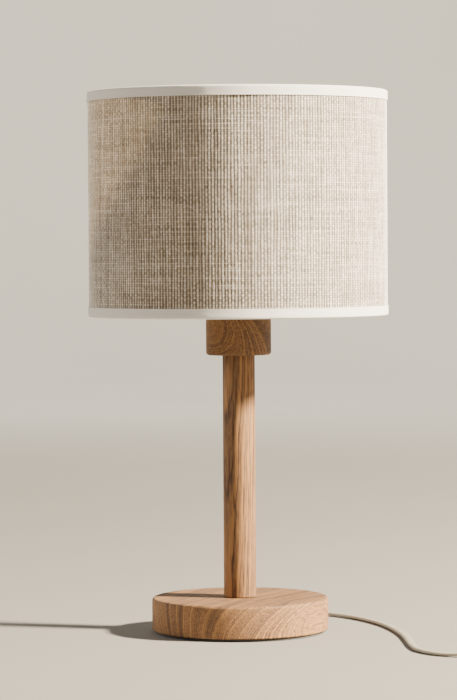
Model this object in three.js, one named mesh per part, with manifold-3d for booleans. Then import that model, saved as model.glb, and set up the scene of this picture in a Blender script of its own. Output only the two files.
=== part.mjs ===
// Table lamp: turned wooden base, post and cup, with a linen drum shade on a spider fitter.
// Millimetres, +Z up. The origin is the centre of the underside, -Y is the front, and the cord
// leaves the back. Every piece keeps GAP clear of the pieces that it touches.

import * as THREE from 'three';
import { mergeVertices } from 'three/addons/utils/BufferGeometryUtils.js';
import Module from 'manifold-3d';

const wasm = await Module();
wasm.setup();

// ---------------------------------------------------------------- driving dimensions

const GAP = 0.3;

const FELT_THICKNESS = 2.0;
const FELT_RADIUS = 71.8;

const BASE_RADIUS = 73.8;
const BASE_TOP = 29.2;
const BASE_TOP_FILLET = 2.6;
const BASE_BOTTOM_FILLET = 1.0;
const BASE_BOTTOM = FELT_THICKNESS + GAP;
const RECESS_RADIUS = 58;
const RECESS_TOP = 12.3;
const POCKET_RADIUS = 20;
const POCKET_TOP = 21;
const WEIGHT_SCREW_RING = 40;
const WEIGHT_SCREW_ANGLES = [30, 150, 270];
const CHANNEL_HEIGHT = 8.2;
const CHANNEL_RADIUS = 4.6;

const POST_RADIUS = 13.5;
const POST_BORE = 5.6;

const CUP_RADIUS = 27.25;
const CUP_BOTTOM = 232.2;
const CUP_TOP = 290;
const CUP_FLOOR = 6.3;
const CUP_BORE = 21.5;
const CUP_FILLET = 3;
const CUP_EDGE = 1;

const ROD_RADIUS = 5;
const ROD_BORE = 3.75;
const ROD_HOLE = ROD_RADIUS + GAP;
const ROD_BOTTOM = 13.5;
const ROD_TOP = 250;
const NUT_FLATS = 17;
const NUT_HEIGHT = 4.5;
const WASHER_THICKNESS = 1.6;

const SHADE_BOTTOM = 264.9;
const SHADE_TOP = 452;
const SHADE_RADIUS = 125.4;
const TRIM_THICKNESS = 0.5;
const TRIM_WIDTH = 8.4;
const TRIM_RIM = 0.6;
const TRIM_RETURN = 2.4;
const FABRIC_THICKNESS = 0.8;
const LINER_THICKNESS = 0.5;
const RING_WIRE = 1.5;
const ARM_WIRE = 1.6;
const ARM_ANGLES = [90, 210, 330];

const FITTER_THICKNESS = 1.7;
const FITTER_HOLE = 21;
const FITTER_RADIUS = 28.8;
const CLAMP_RADIUS = 28.5;
const CLAMP_BORE = 20.2;
const CLAMP_HEIGHT = 6;
const CLAMP_GRIPS = 16;

const HOLDER_RADIUS = 20.2;
const HOLDER_BOTTOM = 245.6;
const HOLDER_SPLIT = 261.7;
const HOLDER_TOP = 303;
const HOLDER_WALL = 2;
const HOLDER_THREAD = 19.75;
const HOLDER_THREAD_DEPTH = 0.8;
const HOLDER_THREAD_PITCH = 6;
const HOLDER_MOUTH = 16.6;
const HOLDER_THROAT = 15;
const HOLDER_SEAT = 266.9;
const INSERT_BOTTOM = 257;
const INSERT_TOP = 263;
const INSERT_RADIUS = 17.7;
const SLEEVE_BORE = 13.65;
const SLEEVE_LENGTH = 25.4;
const TERMINAL_X = 9;

const BULB_TIP = 268.6;
const BULB_LENGTH = 105;
const BULB_RADIUS = 30;
const BULB_CAP_RADIUS = 13.1;
const BULB_CAP_WALL = 0.5;
const BULB_THREAD_DEPTH = 0.6;
const BULB_THREAD_PITCH = 3.63;
const BULB_FLARE = [[14.2, 7], [17.2, 17]];
const GLASS_WALL = 0.8;
const FILAMENT_RADIUS = 1;
const FILAMENT_LENGTH = 32;
const FILAMENT_RING = 10.5;
const FILAMENT_TILT = 8;

const CORD_WIDTH = 5.6;
const CORD_THICKNESS = 3.0;
const CORD_FLOOR = 3;
const RELIEF_START = 60;
const RELIEF_END = 96;

const COIL_CENTRE = [253, -108];
const COIL_INNER = 25.6;
const COIL_OUTER = 37.8;
const COIL_BOTTOM = 1.1;
const COIL_TOP = 12.6;
const TIE_THICKNESS = 0.8;
const TIE_WIDTH = 8;

const SWITCH_CENTRE = [226, -172];
const SWITCH_LENGTH = 62;
const SWITCH_WIDTH = 22;
const SWITCH_SPLIT = 7.8;
const SWITCH_HEIGHT = 15.5;
const SWITCH_SCREWS = [[-14, 7.6], [14, -7.6]];
const SWITCH_SCREW_RADIUS = 1.2;
const SWITCH_SCREW_HEAD = 2.3;
const ROCKER_LENGTH = 22;
const ROCKER_WIDTH = 10;
const ROCKER_PIVOT = 13.2;
const ROCKER_TILT = 10;
const ROCKER_AXLE = 1.2;

const PLUG_CENTRE = [262, -12];
const PLUG_WIDTH = 35.3;
const PLUG_THICKNESS = 13.7;
const PLUG_LENGTH = 36;
const PLUG_TAIL = 5;
const PIN_SPACING = 18.6;
const PIN_RADIUS = 2;
const PIN_LENGTH = 19;
const PIN_BURIED = 9;

// The flex lies on its edge. From the strain relief it drops to the surface, rounds the right side
// of the base, and runs out to the switch.
const LEAD_A = [
  [0, RELIEF_END + GAP, CHANNEL_HEIGHT], [0, 101, CHANNEL_HEIGHT], [0.2, 106, CHANNEL_HEIGHT],
  [2.4, 113, 7.4], [8, 121, 5.5], [17.5, 127.5, 4], [30, 130, 3.15],
  [46, 127, CORD_FLOOR], [62, 117.5, CORD_FLOOR], [77, 104, CORD_FLOOR], [91, 88.5, CORD_FLOOR],
  [104, 69, CORD_FLOOR], [115, 46, CORD_FLOOR], [124, 19, CORD_FLOOR], [130.5, -12, CORD_FLOOR],
  [135, -46, CORD_FLOOR], [137, -82, CORD_FLOOR], [138.5, -114, CORD_FLOOR],
  [143, -141, CORD_FLOOR], [155, -161, CORD_FLOOR], [171, -170.5, 3.1],
  [183, -172, 3.7], [190, -172, 4.8], [194.7, -172, 5],
];
const LEAD_B = [
  [257.3, -172, 5], [260.5, -172, 5], [264, -171.7, 5], [270, -169.7, 4.1],
  [276.5, -165.4, 3.2], [283, -158, CORD_FLOOR], [287.5, -147, CORD_FLOOR],
  [289, -136, CORD_FLOOR], [289, -125, CORD_FLOOR],
];
const TAIL = [
  [270, -72.3, 8.3], [268.1, -70, 8.3], [266.2, -67.6, 8.3], [263.9, -63.5, 7.2],
  [262.4, -57, 5.6], [262, -50, 5], [262, -44, 6.2], [262, -39.5, 6.85], [262, -35.3, 6.85],
];

// ---------------------------------------------------------------- finishes

const FINISHES = {
  oak: { color: 0xb98a60, roughness: 0.55, metalness: 0 },
  felt: { color: 0x2b2723, roughness: 0.95, metalness: 0 },
  linen: { color: 0xc9b79c, roughness: 0.9, metalness: 0 },
  styrene: { color: 0xf2efe8, roughness: 0.5, metalness: 0 },
  tape: { color: 0xe6dcc8, roughness: 0.85, metalness: 0 },
  steel: { color: 0xa9abad, roughness: 0.4, metalness: 1 },
  white_paint: { color: 0xe9e7e1, roughness: 0.4, metalness: 0.1 },
  brass: { color: 0xc6a24e, roughness: 0.3, metalness: 1 },
  holder_plastic: { color: 0xeceae4, roughness: 0.45, metalness: 0 },
  ceramic: { color: 0xe7e2d6, roughness: 0.4, metalness: 0 },
  opal_glass: { color: 0xfdfbf4, roughness: 0.2, metalness: 0 },
  phosphor: { color: 0xe9b949, roughness: 0.5, metalness: 0 },
  black_glass: { color: 0x17171a, roughness: 0.25, metalness: 0 },
  nickel: { color: 0xc9c8c4, roughness: 0.25, metalness: 1 },
  flex_pvc: { color: 0xa79c85, roughness: 0.5, metalness: 0 },
  brown_core: { color: 0x6b4326, roughness: 0.5, metalness: 0 },
  blue_core: { color: 0x2d57a0, roughness: 0.5, metalness: 0 },
  grip_strap: { color: 0x33312e, roughness: 0.9, metalness: 0 },
};

const lamp = new THREE.Group();

function addPart(name, finish, geometry) {
  const mesh = new THREE.Mesh(geometry, new THREE.MeshStandardMaterial(FINISHES[finish]));
  mesh.name = name;
  lamp.add(mesh);
  return mesh;
}

// ---------------------------------------------------------------- geometry helpers

const radians = THREE.MathUtils.degToRad;

// Points of an arc in a profile, from one angle to another in degrees.
function arc(centreX, centreY, radius, from, to, steps = 4) {
  return Array.from({ length: steps + 1 }, (_, i) => {
    const angle = radians(from + (to - from) * i / steps);
    return [centreX + radius * Math.cos(angle), centreY + radius * Math.sin(angle)];
  });
}

// A solid of revolution about Z. The profile of [radius, height] points runs anticlockwise.
function turned(profile, segments) {
  const first = profile[0];
  const points = [...profile, first].map(([radius, height]) => new THREE.Vector2(radius, height));
  return new THREE.LatheGeometry(points, segments).rotateX(Math.PI / 2);
}

function turnedRing(inner, outer, bottom, top, segments) {
  return turned([[outer, bottom], [outer, top], [inner, top], [inner, bottom]], segments);
}

function turnedRod(radius, bottom, top, segments) {
  return turned([[0, bottom], [radius, bottom], [radius, top], [0, top]], segments);
}

function outline(points) {
  return new THREE.Shape(points.map(([x, y]) => new THREE.Vector2(x, y)));
}

function circleHole(radius, segments) {
  return new THREE.Path(arc(0, 0, radius, 360, 360 / segments, segments - 1)
    .map(([x, y]) => new THREE.Vector2(x, y)));
}

// An outline pushed up from one height to another, with its long edges rounded over.
function slab(shape, bottom, top, bevel = 0, curveSegments = 4) {
  const geometry = new THREE.ExtrudeGeometry(shape, {
    depth: top - bottom - 2 * bevel, bevelEnabled: bevel > 0, bevelThickness: bevel, bevelSize: bevel,
    bevelOffset: -bevel, bevelSegments: 2, curveSegments,
  });
  return geometry.translate(0, 0, bottom + bevel);
}

function block(width, depth, height) {
  return new THREE.BoxGeometry(width, depth, height);
}

// A section swept along a curve. On a level start the section's x axis stands upright.
function swept(curve, section, steps) {
  return new THREE.ExtrudeGeometry(outline(section), {
    steps, bevelEnabled: false, extrudePath: curve, curveSegments: 1,
  });
}

function smooth(points) {
  return new THREE.CatmullRomCurve3(points.map((point) => new THREE.Vector3(...point)));
}

// The flex's section, two cores side by side, as one flat oval of eight sides.
function flatSection(halfX, halfY) {
  const cutX = halfX * 0.55;
  const cutY = halfY * 0.55;
  return [
    [halfX, -cutY], [halfX, cutY], [cutX, halfY], [-cutX, halfY],
    [-halfX, cutY], [-halfX, -cutY], [-cutX, -halfY], [cutX, -halfY],
  ];
}

const roundSection = (radius, sides) => arc(0, 0, radius, 0, 360 - 360 / sides, sides - 1);

function toSolid(geometry) {
  const bare = geometry.clone();
  bare.deleteAttribute('normal');
  bare.deleteAttribute('uv');
  const merged = mergeVertices(bare, 1e-4);
  return new wasm.Manifold(new wasm.Mesh({
    numProp: 3,
    vertProperties: new Float32Array(merged.attributes.position.array),
    triVerts: new Uint32Array(merged.index.array),
  }));
}

function toGeometry(solid) {
  const mesh = solid.getMesh();
  const geometry = new THREE.BufferGeometry();
  geometry.setAttribute('position', new THREE.BufferAttribute(new Float32Array(mesh.vertProperties), 3));
  geometry.setIndex(new THREE.BufferAttribute(new Uint32Array(mesh.triVerts), 1));
  return geometry;
}

function cut(geometry, ...tools) {
  return toGeometry(tools.reduce((solid, tool) => solid.subtract(toSolid(tool)), toSolid(geometry)));
}

function joined(geometry, ...others) {
  return toGeometry(others.reduce((solid, other) => solid.add(toSolid(other)), toSolid(geometry)));
}

function hexNut(bottom) {
  const corners = arc(0, 0, NUT_FLATS / Math.sqrt(3), 0, 300, 5);
  const shape = outline(corners);
  shape.holes.push(circleHole(ROD_HOLE, 24));
  return slab(shape, bottom, bottom + NUT_HEIGHT);
}

// ---------------------------------------------------------------- base

function weightScrewPlaces() {
  return WEIGHT_SCREW_ANGLES.map((angle) => arc(0, 0, WEIGHT_SCREW_RING, angle, angle, 1)[0]);
}

function countersunk(headRadius, shankRadius, bottom, top) {
  const neck = bottom + 2.6;
  return turned([[0, bottom], [headRadius, bottom], [shankRadius, neck], [shankRadius, top], [0, top]], 12);
}

function buildBase() {
  const felt = turnedRod(FELT_RADIUS, 0, FELT_THICKNESS, 48);
  addPart('base_felt', 'felt', felt);

  const foot = BASE_BOTTOM_FILLET;
  const brow = BASE_TOP_FILLET;
  const profile = [
    ...arc(BASE_RADIUS - foot, BASE_BOTTOM + foot, foot, -90, 0, 2),
    ...arc(BASE_RADIUS - brow, BASE_TOP - brow, brow, 0, 90, 4),
    [ROD_HOLE, BASE_TOP], [ROD_HOLE, POCKET_TOP],
    [POCKET_RADIUS, POCKET_TOP], [POCKET_RADIUS, RECESS_TOP],
    [RECESS_RADIUS, RECESS_TOP], [RECESS_RADIUS, BASE_BOTTOM],
  ];
  const channel = new THREE.CylinderGeometry(CHANNEL_RADIUS, CHANNEL_RADIUS, 40, 16)
    .translate(0, RECESS_RADIUS + 10, CHANNEL_HEIGHT);
  const pilotHoles = weightScrewPlaces().map(([x, y]) =>
    turnedRod(2 + GAP, RECESS_TOP - 1, 20 + GAP, 12).translate(x, y, 0));
  addPart('base_disc', 'oak', cut(turned(profile, 48), channel, ...pilotHoles));

  const weightBottom = BASE_BOTTOM + 0.2;
  const weightTop = RECESS_TOP - GAP;
  const slot = block(11, RECESS_RADIUS, 20).translate(0, POCKET_RADIUS + RECESS_RADIUS / 2 - 4, 6);
  const sinks = weightScrewPlaces().map(([x, y]) =>
    countersunk(4 + 2 * GAP, 2 + GAP, weightBottom - 0.1, weightTop + 1).translate(x, y, 0));
  const plate = turnedRing(POCKET_RADIUS, RECESS_RADIUS - GAP - 0.2, weightBottom, weightTop, 48);
  addPart('base_weight', 'steel', cut(plate, slot, ...sinks));
  weightScrewPlaces().forEach(([x, y], i) => {
    addPart(`weight_screw_${i + 1}`, 'steel', countersunk(4, 2, weightBottom, 20))
      .position.set(x, y, 0);
  });

  const washerTop = POCKET_TOP - GAP;
  const washerBottom = washerTop - WASHER_THICKNESS;
  addPart('base_washer', 'steel', turnedRing(ROD_HOLE, 15, washerBottom, washerTop, 32));
  addPart('base_nut', 'steel', hexNut(washerBottom - GAP - NUT_HEIGHT));
}

// The sleeve that guards the flex where it leaves the wood: a shank in the hole, a collar and a taper.
function buildStrainRelief() {
  const shank = CHANNEL_RADIUS - GAP;
  const collarStart = BASE_RADIUS + GAP;
  const profile = [
    [0, RELIEF_START], [shank, RELIEF_START], [shank, collarStart], [6, collarStart],
    [6, collarStart + 2], [4.7, collarStart + 2.8], [3.6, RELIEF_END], [0, RELIEF_END],
  ];
  addPart('strain_relief', 'flex_pvc', turned(profile, 20).rotateX(-Math.PI / 2))
    .position.set(0, 0, CHANNEL_HEIGHT);
}

// ---------------------------------------------------------------- stem

function buildStem() {
  addPart('stem_post', 'oak', turnedRing(POST_BORE, POST_RADIUS, BASE_TOP + GAP, CUP_BOTTOM - GAP, 40));
  addPart('threaded_tube', 'steel', turnedRing(ROD_BORE, ROD_RADIUS, ROD_BOTTOM, ROD_TOP, 20));

  const cupFloor = CUP_BOTTOM + CUP_FLOOR;
  const cup = [
    ...arc(CUP_RADIUS - CUP_FILLET, CUP_BOTTOM + CUP_FILLET, CUP_FILLET, -90, 0, 4),
    ...arc(CUP_RADIUS - CUP_EDGE, CUP_TOP - CUP_EDGE, CUP_EDGE, 0, 90, 1),
    [CUP_BORE, CUP_TOP], [CUP_BORE, cupFloor], [ROD_HOLE, cupFloor], [ROD_HOLE, CUP_BOTTOM],
  ];
  addPart('holder_cup', 'oak', turned(cup, 40));
  const washerTop = cupFloor + GAP + WASHER_THICKNESS;
  addPart('cup_washer', 'steel', turnedRing(ROD_HOLE, 12, cupFloor + GAP, washerTop, 32));
  addPart('cup_nut', 'steel', hexNut(washerTop + GAP));
}

// The flex lies flat in the channel, turns up into the tube and ends below the holder's terminals.
function buildInnerFlex() {
  const low = 5.6;
  const bend = 11;
  const flexTop = ROD_TOP + 2.5;
  const point = (y, z) => new THREE.Vector3(0, y, z);
  const route = new THREE.CurvePath();
  route.add(new THREE.LineCurve3(point(RELIEF_START - GAP, CHANNEL_HEIGHT), point(50, CHANNEL_HEIGHT)));
  route.add(new THREE.CubicBezierCurve3(
    point(50, CHANNEL_HEIGHT), point(40, CHANNEL_HEIGHT), point(34, low), point(24, low)));
  route.add(new THREE.LineCurve3(point(24, low), point(bend, low)));
  route.add(new THREE.QuadraticBezierCurve3(point(bend, low), point(0, low), point(0, low + bend)));
  route.add(new THREE.LineCurve3(point(0, low + bend), point(0, flexTop)));
  const section = flatSection(CORD_THICKNESS / 2, CORD_WIDTH / 2);
  addPart('inner_flex', 'flex_pvc', swept(route, section, 46));

  [['live_core', 'brown_core', -1], ['neutral_core', 'blue_core', 1]].forEach(([name, finish, side]) => {
    const core = smooth([
      [side * 1.4, 0, flexTop + GAP], [side * 1.5, 0, flexTop + 1.2],
      [side * 3.2, 0, flexTop + 2.4], [side * 5, 0, flexTop + 2.6], [side * 6.8, 0, flexTop + 2.6],
    ]);
    addPart(name, finish, swept(core, roundSection(1, 6), 6));
  });
}

// ---------------------------------------------------------------- lampholder

function buildHolder() {
  const cavity = HOLDER_RADIUS - HOLDER_WALL;
  const cavityFloor = HOLDER_BOTTOM + 3;
  addPart('holder_base', 'holder_plastic', turned([
    [HOLDER_RADIUS - 1.5, HOLDER_BOTTOM], [HOLDER_RADIUS, HOLDER_BOTTOM + 1.5],
    [HOLDER_RADIUS, HOLDER_SPLIT], [cavity, HOLDER_SPLIT], [cavity, cavityFloor],
    [ROD_HOLE, cavityFloor], [ROD_HOLE, HOLDER_BOTTOM],
  ], 40));

  const seatRadius = SLEEVE_BORE - 1.05;
  const seatTop = INSERT_TOP + 3.3;
  const insert = turned([
    [0, INSERT_BOTTOM], [INSERT_RADIUS, INSERT_BOTTOM], [INSERT_RADIUS, INSERT_TOP],
    [seatRadius, INSERT_TOP], [seatRadius, seatTop], [0, seatTop],
  ], 32);
  const screwHoles = [-1, 1].map((side) =>
    turnedRod(2, INSERT_BOTTOM - 1, INSERT_TOP - 1, 12).translate(side * TERMINAL_X, 0, 0));
  addPart('holder_insert', 'ceramic', cut(insert, ...screwHoles));
  [-1, 1].forEach((side, i) => {
    const screw = turned([[0, 0], [2.8, 0], [2.8, 1.8], [1.7, 1.8], [1.7, 10], [0, 10]], 12);
    addPart(`terminal_screw_${i + 1}`, 'brass', screw)
      .position.set(side * TERMINAL_X, 0, INSERT_BOTTOM - 5.4);
  });

  // The centre contact is a folded spring strip, and the side contact a tongue under the sleeve.
  const strip = outline([
    [-6, 0], [3, 0], [3, 0.5], [-4.4, 0.5], [2.6, 1.1], [2.6, 1.6], [-6, 1.0],
  ]);
  const spring = new THREE.ExtrudeGeometry(strip, { depth: 5, bevelEnabled: false });
  addPart('centre_contact', 'brass', spring.rotateX(Math.PI / 2))
    .position.set(0, 2.5, seatTop + GAP);
  addPart('side_contact', 'brass', block(5, 1.4, 2.7).translate(0, 13.9, INSERT_TOP + GAP + 1.35));

  const sleeveBottom = seatTop + GAP;
  addPart('holder_thread_sleeve', 'brass',
    turnedRing(SLEEVE_BORE, SLEEVE_BORE + 0.7, sleeveBottom, sleeveBottom + SLEEVE_LENGTH, 32));

  const root = HOLDER_THREAD - HOLDER_THREAD_DEPTH;
  const throatTop = HOLDER_TOP - 8.5;
  const ridges = [];
  for (let z = HOLDER_SPLIT + 12; z < HOLDER_TOP - 3; z += HOLDER_THREAD_PITCH) {
    ridges.push([HOLDER_THREAD, z], [root, z + HOLDER_THREAD_PITCH / 2]);
  }
  addPart('holder_shell', 'holder_plastic', turned([
    [HOLDER_THREAD, HOLDER_SPLIT + GAP], ...ridges, [root, HOLDER_TOP],
    [HOLDER_MOUTH, HOLDER_TOP], [HOLDER_MOUTH, throatTop + 1.5], [HOLDER_THROAT, throatTop],
    [HOLDER_THROAT, HOLDER_SEAT], [INSERT_RADIUS + GAP, HOLDER_SEAT],
    [INSERT_RADIUS + GAP, HOLDER_SPLIT + GAP],
  ], 28));
}

// ---------------------------------------------------------------- shade

function buildShade() {
  const tapeInner = SHADE_RADIUS - TRIM_THICKNESS;
  const fabricOuter = tapeInner - GAP;
  const fabricInner = fabricOuter - FABRIC_THICKNESS;
  const linerOuter = fabricInner - GAP;
  const linerInner = linerOuter - LINER_THICKNESS;
  const rimBottom = SHADE_BOTTOM + TRIM_RIM + GAP;
  const rimTop = SHADE_TOP - TRIM_RIM - GAP;
  const segments = 48;
  addPart('shade_fabric', 'linen', turnedRing(fabricInner, fabricOuter, rimBottom, rimTop, segments));
  addPart('shade_liner', 'styrene', turnedRing(linerInner, linerOuter, rimBottom, rimTop, segments));

  const ringRadius = linerInner - GAP - RING_WIRE;
  const ring = (height) => turned(arc(ringRadius, height, RING_WIRE, 0, 300, 5), segments);
  const lowRing = rimBottom + RING_WIRE;
  addPart('top_ring', 'white_paint', ring(rimTop - RING_WIRE));
  addPart('bottom_ring', 'white_paint', ring(lowRing));

  // The tape folds over the rim: a broad leg outside, and a narrow return behind the wire ring.
  const returnOuter = ringRadius - RING_WIRE - GAP;
  const returnInner = returnOuter - TRIM_THICKNESS;
  const tape = turned([
    [SHADE_RADIUS, 0], [SHADE_RADIUS, TRIM_WIDTH], [tapeInner, TRIM_WIDTH], [tapeInner, TRIM_RIM],
    [returnOuter, TRIM_RIM], [returnOuter, TRIM_RETURN], [returnInner, TRIM_RETURN], [returnInner, 0],
  ], segments);
  addPart('bottom_trim', 'tape', tape).position.z = SHADE_BOTTOM;
  const topTape = addPart('top_trim', 'tape', tape.clone());
  topTape.position.z = SHADE_TOP;
  topTape.rotation.x = Math.PI;

  const fitterBottom = CUP_TOP + GAP;
  const fitterTop = fitterBottom + FITTER_THICKNESS;
  addPart('spider_fitter', 'white_paint',
    turnedRing(FITTER_HOLE, FITTER_RADIUS, fitterBottom, fitterTop, 40));

  // Each arm starts at the edge of the fitter, falls outwards and ends on top of the lower ring.
  const armStart = FITTER_RADIUS + GAP;
  const armHigh = fitterBottom + FITTER_THICKNESS / 2;
  const armLow = lowRing + RING_WIRE + GAP + ARM_WIRE;
  ARM_ANGLES.forEach((angle, i) => {
    const route = smooth([
      [armStart, 0, armHigh], [armStart + 5, 0, armHigh], [armStart + 12, 0, armHigh - 1.2],
      [60, 0, armHigh - 8.5], [85, 0, armHigh - 15], [108, 0, armLow + 1.4],
      [115, 0, armLow], [ringRadius + 1, 0, armLow],
    ]);
    addPart(`spider_arm_${i + 1}`, 'white_paint', swept(route, roundSection(ARM_WIRE, 8), 14))
      .rotation.z = radians(angle);
  });

  const clampBottom = fitterTop + GAP;
  const grips = Array.from({ length: CLAMP_GRIPS }, (_, i) => {
    const angle = 2 * Math.PI * i / CLAMP_GRIPS;
    return new THREE.CylinderGeometry(1.5, 1.5, CLAMP_HEIGHT + 2, 8).rotateX(Math.PI / 2)
      .translate((CLAMP_RADIUS + 0.7) * Math.cos(angle), (CLAMP_RADIUS + 0.7) * Math.sin(angle),
        clampBottom + CLAMP_HEIGHT / 2);
  });
  const collar = turned([
    [CLAMP_RADIUS, clampBottom], [CLAMP_RADIUS, clampBottom + CLAMP_HEIGHT - 1],
    [CLAMP_RADIUS - 1, clampBottom + CLAMP_HEIGHT], [CLAMP_BORE, clampBottom + CLAMP_HEIGHT],
    [CLAMP_BORE, clampBottom],
  ], 40);
  addPart('clamp_ring', 'holder_plastic', cut(collar, ...grips));
}

// ---------------------------------------------------------------- bulb

function buildBulb() {
  const shellBottom = BULB_TIP + 4.5;
  const shellTop = BULB_TIP + 24;
  addPart('bulb_tip_contact', 'nickel', turned([
    [0, BULB_TIP], [3, BULB_TIP + 0.2], [4.6, BULB_TIP + 1.4], [0, BULB_TIP + 1.4],
  ], 16));
  addPart('bulb_insulator', 'black_glass', turned([
    [0, BULB_TIP + 1.7], [5.2, BULB_TIP + 1.7], [12.2, BULB_TIP + 4.2], [0, BULB_TIP + 4.2],
  ], 20));

  const capRoot = BULB_CAP_RADIUS - BULB_THREAD_DEPTH;
  const capInner = capRoot - BULB_CAP_WALL;
  const threads = [];
  for (let z = shellBottom + 1; z < shellTop - 3; z += BULB_THREAD_PITCH) {
    threads.push([capRoot, z], [BULB_CAP_RADIUS, z + BULB_THREAD_PITCH / 2]);
  }
  addPart('bulb_screw_shell', 'nickel', turned([
    [capRoot, shellBottom], ...threads, [capRoot + 0.3, shellTop],
    [capInner, shellTop], [capInner, shellBottom],
  ], 24));

  // The glass: a neck in the shell, a flare, and a globe whose top is the end of the bulb.
  const globe = BULB_TIP + BULB_LENGTH - BULB_RADIUS;
  const neck = capInner - GAP;
  const side = [[neck, shellTop - 8], [neck, shellTop + 1],
    ...BULB_FLARE.map(([radius, above]) => [radius, shellTop + above])];
  const outer = [...side, ...arc(0, globe, BULB_RADIUS, -42, 90, 7)];
  const inner = [
    ...arc(0, globe, BULB_RADIUS - GLASS_WALL, 90, -42, 7),
    ...side.map(([radius, height]) => [radius - GLASS_WALL, height]).reverse(),
  ];
  addPart('bulb_glass', 'opal_glass', turned([...outer, ...inner], 24));

  const stemTop = globe + 2;
  addPart('bulb_stem', 'opal_glass', turned([
    [0, shellTop - 4], [9, shellTop - 4], [9, shellTop + 1], [3.2, shellTop + 12],
    [2.2, stemTop], [0, stemTop],
  ], 16));
  const filament = new THREE.CylinderGeometry(FILAMENT_RADIUS, FILAMENT_RADIUS, FILAMENT_LENGTH, 8)
    .rotateX(Math.PI / 2);
  [45, 135, 225, 315].forEach((angle, i) => {
    const rod = filament.clone().rotateY(radians(-FILAMENT_TILT)).translate(FILAMENT_RING, 0, 0);
    addPart(`led_filament_${i + 1}`, 'phosphor', rod.rotateZ(radians(angle))).position.z = globe + 1;
  });
}

// ---------------------------------------------------------------- cord

const cordEdgeSection = flatSection(CORD_WIDTH / 2, CORD_THICKNESS / 2);

function buildCord() {
  addPart('cord_lead_a', 'flex_pvc', swept(smooth(LEAD_A), cordEdgeSection, 42));
  addPart('cord_lead_b', 'flex_pvc', swept(smooth(LEAD_B), cordEdgeSection, 8));
  addPart('cord_tail', 'flex_pvc', swept(smooth(TAIL), cordEdgeSection, 6));
  const coil = turnedRing(COIL_INNER, COIL_OUTER, COIL_BOTTOM, COIL_TOP, 40);
  addPart('cord_coil', 'flex_pvc', coil).position.set(...COIL_CENTRE, 0);

  // The tie is a strap loop round the turns, on the side away from the flex's way in.
  const bow = TIE_WIDTH ** 2 / (8 * COIL_INNER);
  const loop = (inset) => {
    const near = COIL_INNER - bow - GAP - inset;
    const far = COIL_OUTER + GAP + inset;
    const low = COIL_BOTTOM - GAP - inset;
    const high = COIL_TOP + GAP + inset;
    return [[near, low], [far, low], [far, high], [near, high]];
  };
  const strap = outline(loop(TIE_THICKNESS));
  strap.holes.push(new THREE.Path(loop(0).reverse().map(([x, y]) => new THREE.Vector2(x, y))));
  const tie = new THREE.ExtrudeGeometry(strap, { depth: TIE_WIDTH, bevelEnabled: false });
  tie.translate(0, 0, -TIE_WIDTH / 2).rotateX(Math.PI / 2);
  const tieMesh = addPart('coil_tie', 'grip_strap', tie);
  tieMesh.position.set(...COIL_CENTRE, 0);
  tieMesh.rotation.z = Math.PI;
}

function switchOutline() {
  const half = SWITCH_LENGTH / 2;
  const side = SWITCH_WIDTH / 2;
  const nose = 6;
  const shape = new THREE.Shape();
  shape.moveTo(-half, -nose);
  shape.bezierCurveTo(-half + 8, -nose, -half + 8, -side, -half + 18, -side);
  shape.lineTo(half - 18, -side);
  shape.bezierCurveTo(half - 8, -side, half - 8, -nose, half, -nose);
  shape.lineTo(half, nose);
  shape.bezierCurveTo(half - 8, nose, half - 8, side, half - 18, side);
  shape.lineTo(-half + 18, side);
  shape.bezierCurveTo(-half + 8, side, -half + 8, nose, -half, nose);
  return shape;
}

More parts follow.
